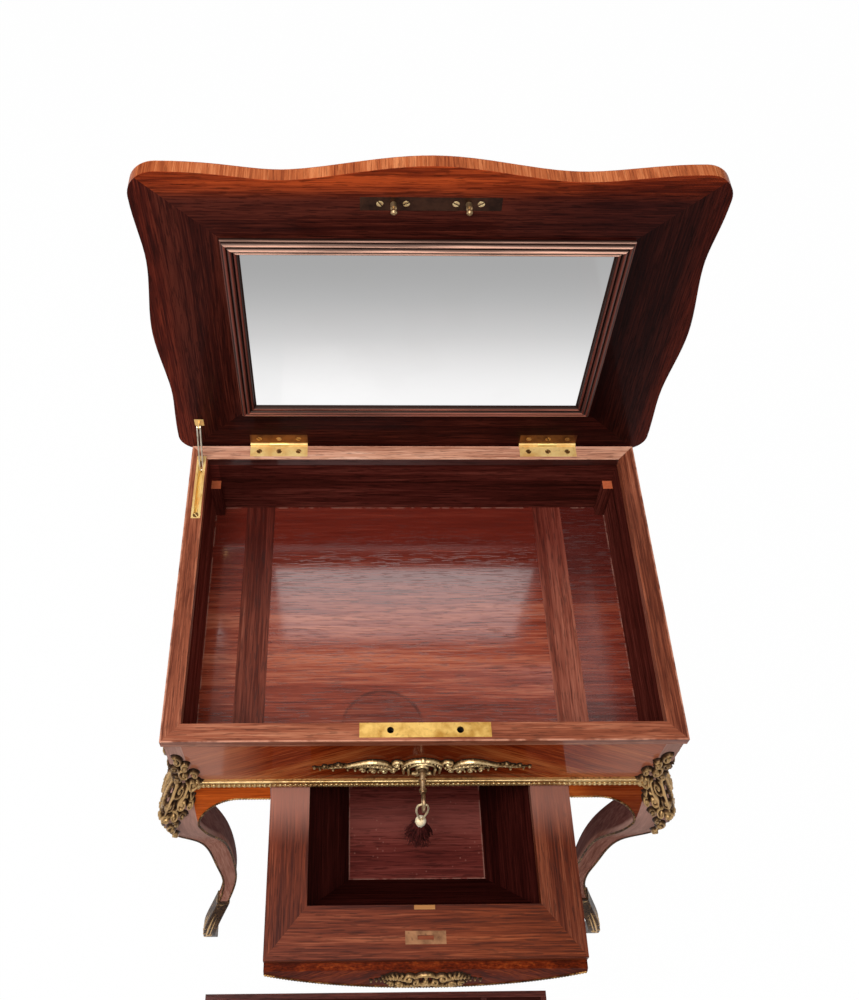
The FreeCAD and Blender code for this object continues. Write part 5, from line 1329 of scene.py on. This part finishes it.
def makeScrews(p):
    head = bpy.data.objects.new("screwHead", screwHead(p))
    scene.collection.objects.link(head)
    screws = screwBuilder(head)
    brass, dark, pale = (plateMetal(kind + "Brass", kind) for kind in ("screw", "screwDark", "screwPale"))
    up, out, clear = (0, 0, 0), (math.pi / 2, 0, 0), p["clear"]
    rim = [(*((a + b) / 2)[:2], b[2] + clear) for a, b in looseBoxes("hinge_screws_rim")]
    lid = [((a[0] + b[0]) / 2, a[1] - clear, (a[2] + b[2]) / 2) for a, b in looseBoxes("hinge_screws_lid")]
    low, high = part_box("link_plate")
    link = [(x, low.y - clear, (low.z + high.z) / 2) for x in p["linkX"]]
    low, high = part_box("stay_plate")
    stay = [((low.x + high.x) / 2, low.y + p["fromStayEnd"], high.z + clear)]
    for name, spots, body, facing, look, gone in (
            ("rimScrews", rim, "carcase", up, dark, ["hinge_screws_rim"]),
            ("lidScrews", lid, "lid", out, brass, ["hinge_screws_lid"]),
            ("linkScrews", link, "lid", out, pale, []), ("stayScrew", stay, "carcase", up, dark, [])):
        paths = [[spot] for spot in spots]
        grow(name, paths, screws, body, "plate_brass", gone, Facing=facing, Material=look)
    bpy.data.objects.remove(head)


makeScrews(screw)
print("screws done")

# a small pale slip let into the drawer's front rail, its upper edges cut
slip = {"half": 0.0112, "back": -0.3196, "front": -0.3245, "low": 0.5740, "high": 0.5794, "cut": 0.0006}


def railSlip(p):
    points = []
    for z, inset in ((p["low"], 0), (p["high"] - p["cut"], 0), (p["high"], p["cut"])):
        x, front, back = p["half"] - inset, p["front"] + inset, p["back"] - inset
        points += [(-x, front, z), (x, front, z), (x, back, z), (-x, back, z)]
    faces = [(3, 2, 1, 0), (8, 9, 10, 11)]
    for row in (0, 4):
        faces += [(row + k, row + (k + 1) % 4, row + 4 + (k + 1) % 4, row + 4 + k) for k in range(4)]
    return newMesh("railSlip", points, faces)


addPiece("railSlip", railSlip(slip), "drawer", plainWood("paleWood", "pale", "x"))


# softens the shading of the curved solids, with their edges kept crisp
def shadeBuilder():
    b = Builder("softShade", {"Angle": "Float"})
    merged = b.make("MergeByDistance", Geometry=b.given("Geometry"), Distance=0.00001)
    sharp = b.node("GeometryNodeInputMeshEdgeAngle", {}, {}, 0).above(b.given("Angle"))
    kind = "GeometryNodeSetShadeSmooth"
    smooth = b.node(kind, {"domain": "FACE"}, {0: merged, "Shade Smooth": True})
    crisp = b.node(kind, {"domain": "EDGE"}, {0: smooth, 1: sharp, "Shade Smooth": False})
    b.wire(crisp, b.result.inputs["Geometry"])
    return b


softShade = shadeBuilder()
curved = ("leg_front_left leg_front_right leg_back_left leg_back_right front_aprons back_apron side_aprons "
          "front_rail drawer_front lid_board key link_studs hinge_pins hinge_leaves_rim hinge_leaves_lid "
          "stay_link sabots frieze_mouldings")
for name in curved.split():
    modifier = nodes[name].modifiers.new("softShade", "NODES")
    modifier.node_group = softShade.tree
    modifier[softShade.ids["Angle"]] = math.radians(28)
print("shading done")


# room: white floor that keeps the shadow, soft lamps with power, width, place and aim
room = {"world": 0.10, "reach": 9.0, "white": 0.99, "lampDepth": 1.6,
        "lamps": {"keyLamp": (72, 2.4, (-0.6, -0.75, 2.95), (0, 0, 0.6)),
                  "leftLamp": (14, 1.6, (-2.3, -0.7, 1.9), (0, 0, 0.5)),
                  "rightLamp": (5, 1.6, (2.3, -0.9, 1.9), (0, 0, 0.5)),
                  "backLamp": (5, 1.6, (0.2, 1.8, 2.6), (0, 0, 0.6))}}


def makeRoom(p):
    world = bpy.data.worlds.new("room")
    scene.world = world
    world.use_nodes = True
    back = world.node_tree.nodes["Background"]
    back.inputs["Color"].default_value = (1, 1, 1, 1)
    back.inputs["Strength"].default_value = p["world"]
    for name, (power, size, place, aim) in p["lamps"].items():
        lamp = bpy.data.lights.new(name, "AREA")
        lamp.energy = power
        lamp.shape = "RECTANGLE"
        lamp.size, lamp.size_y = size, p["lampDepth"]
        thing = bpy.data.objects.new(name, lamp)
        thing.location = place
        thing.rotation_euler = (Vector(aim) - Vector(place)).to_track_quat("-Z", "Y").to_euler()
        scene.collection.objects.link(thing)
    f = Finish("paleFloor")
    f.set(Base_Color=(0.94, 0.94, 0.94, 1), Roughness=0.9, Specular_IOR_Level=0.0)
    rays = ("Is Camera Ray", "Is Glossy Ray", "Is Transmission Ray")
    seen = [f.node("ShaderNodeLightPath", {}, {}, ray) for ray in rays]
    white = f.node("ShaderNodeEmission", {}, {"Color": (1, 1, 1, 1), "Strength": 1.0})
    share = seen[0].most(seen[1]).most(seen[2]) * p["white"]
    both = f.node("ShaderNodeMixShader", {}, {0: share, 1: Sock(f, f.surface.outputs[0]), 2: white})
    f.wire(both, f.output.inputs["Surface"])
    ends = ((-1, -1), (1, -1), (1, 1), (-1, 1))
    mesh = newMesh("paleFloor", [(p["reach"] * x, p["reach"] * y, 0) for x, y in ends], [(0, 1, 2, 3)])
    mesh.materials.append(f.material)
    floor = bpy.data.objects.new("paleFloor", mesh)
    scene.collection.objects.link(floor)


makeRoom(room)
print("scene done")
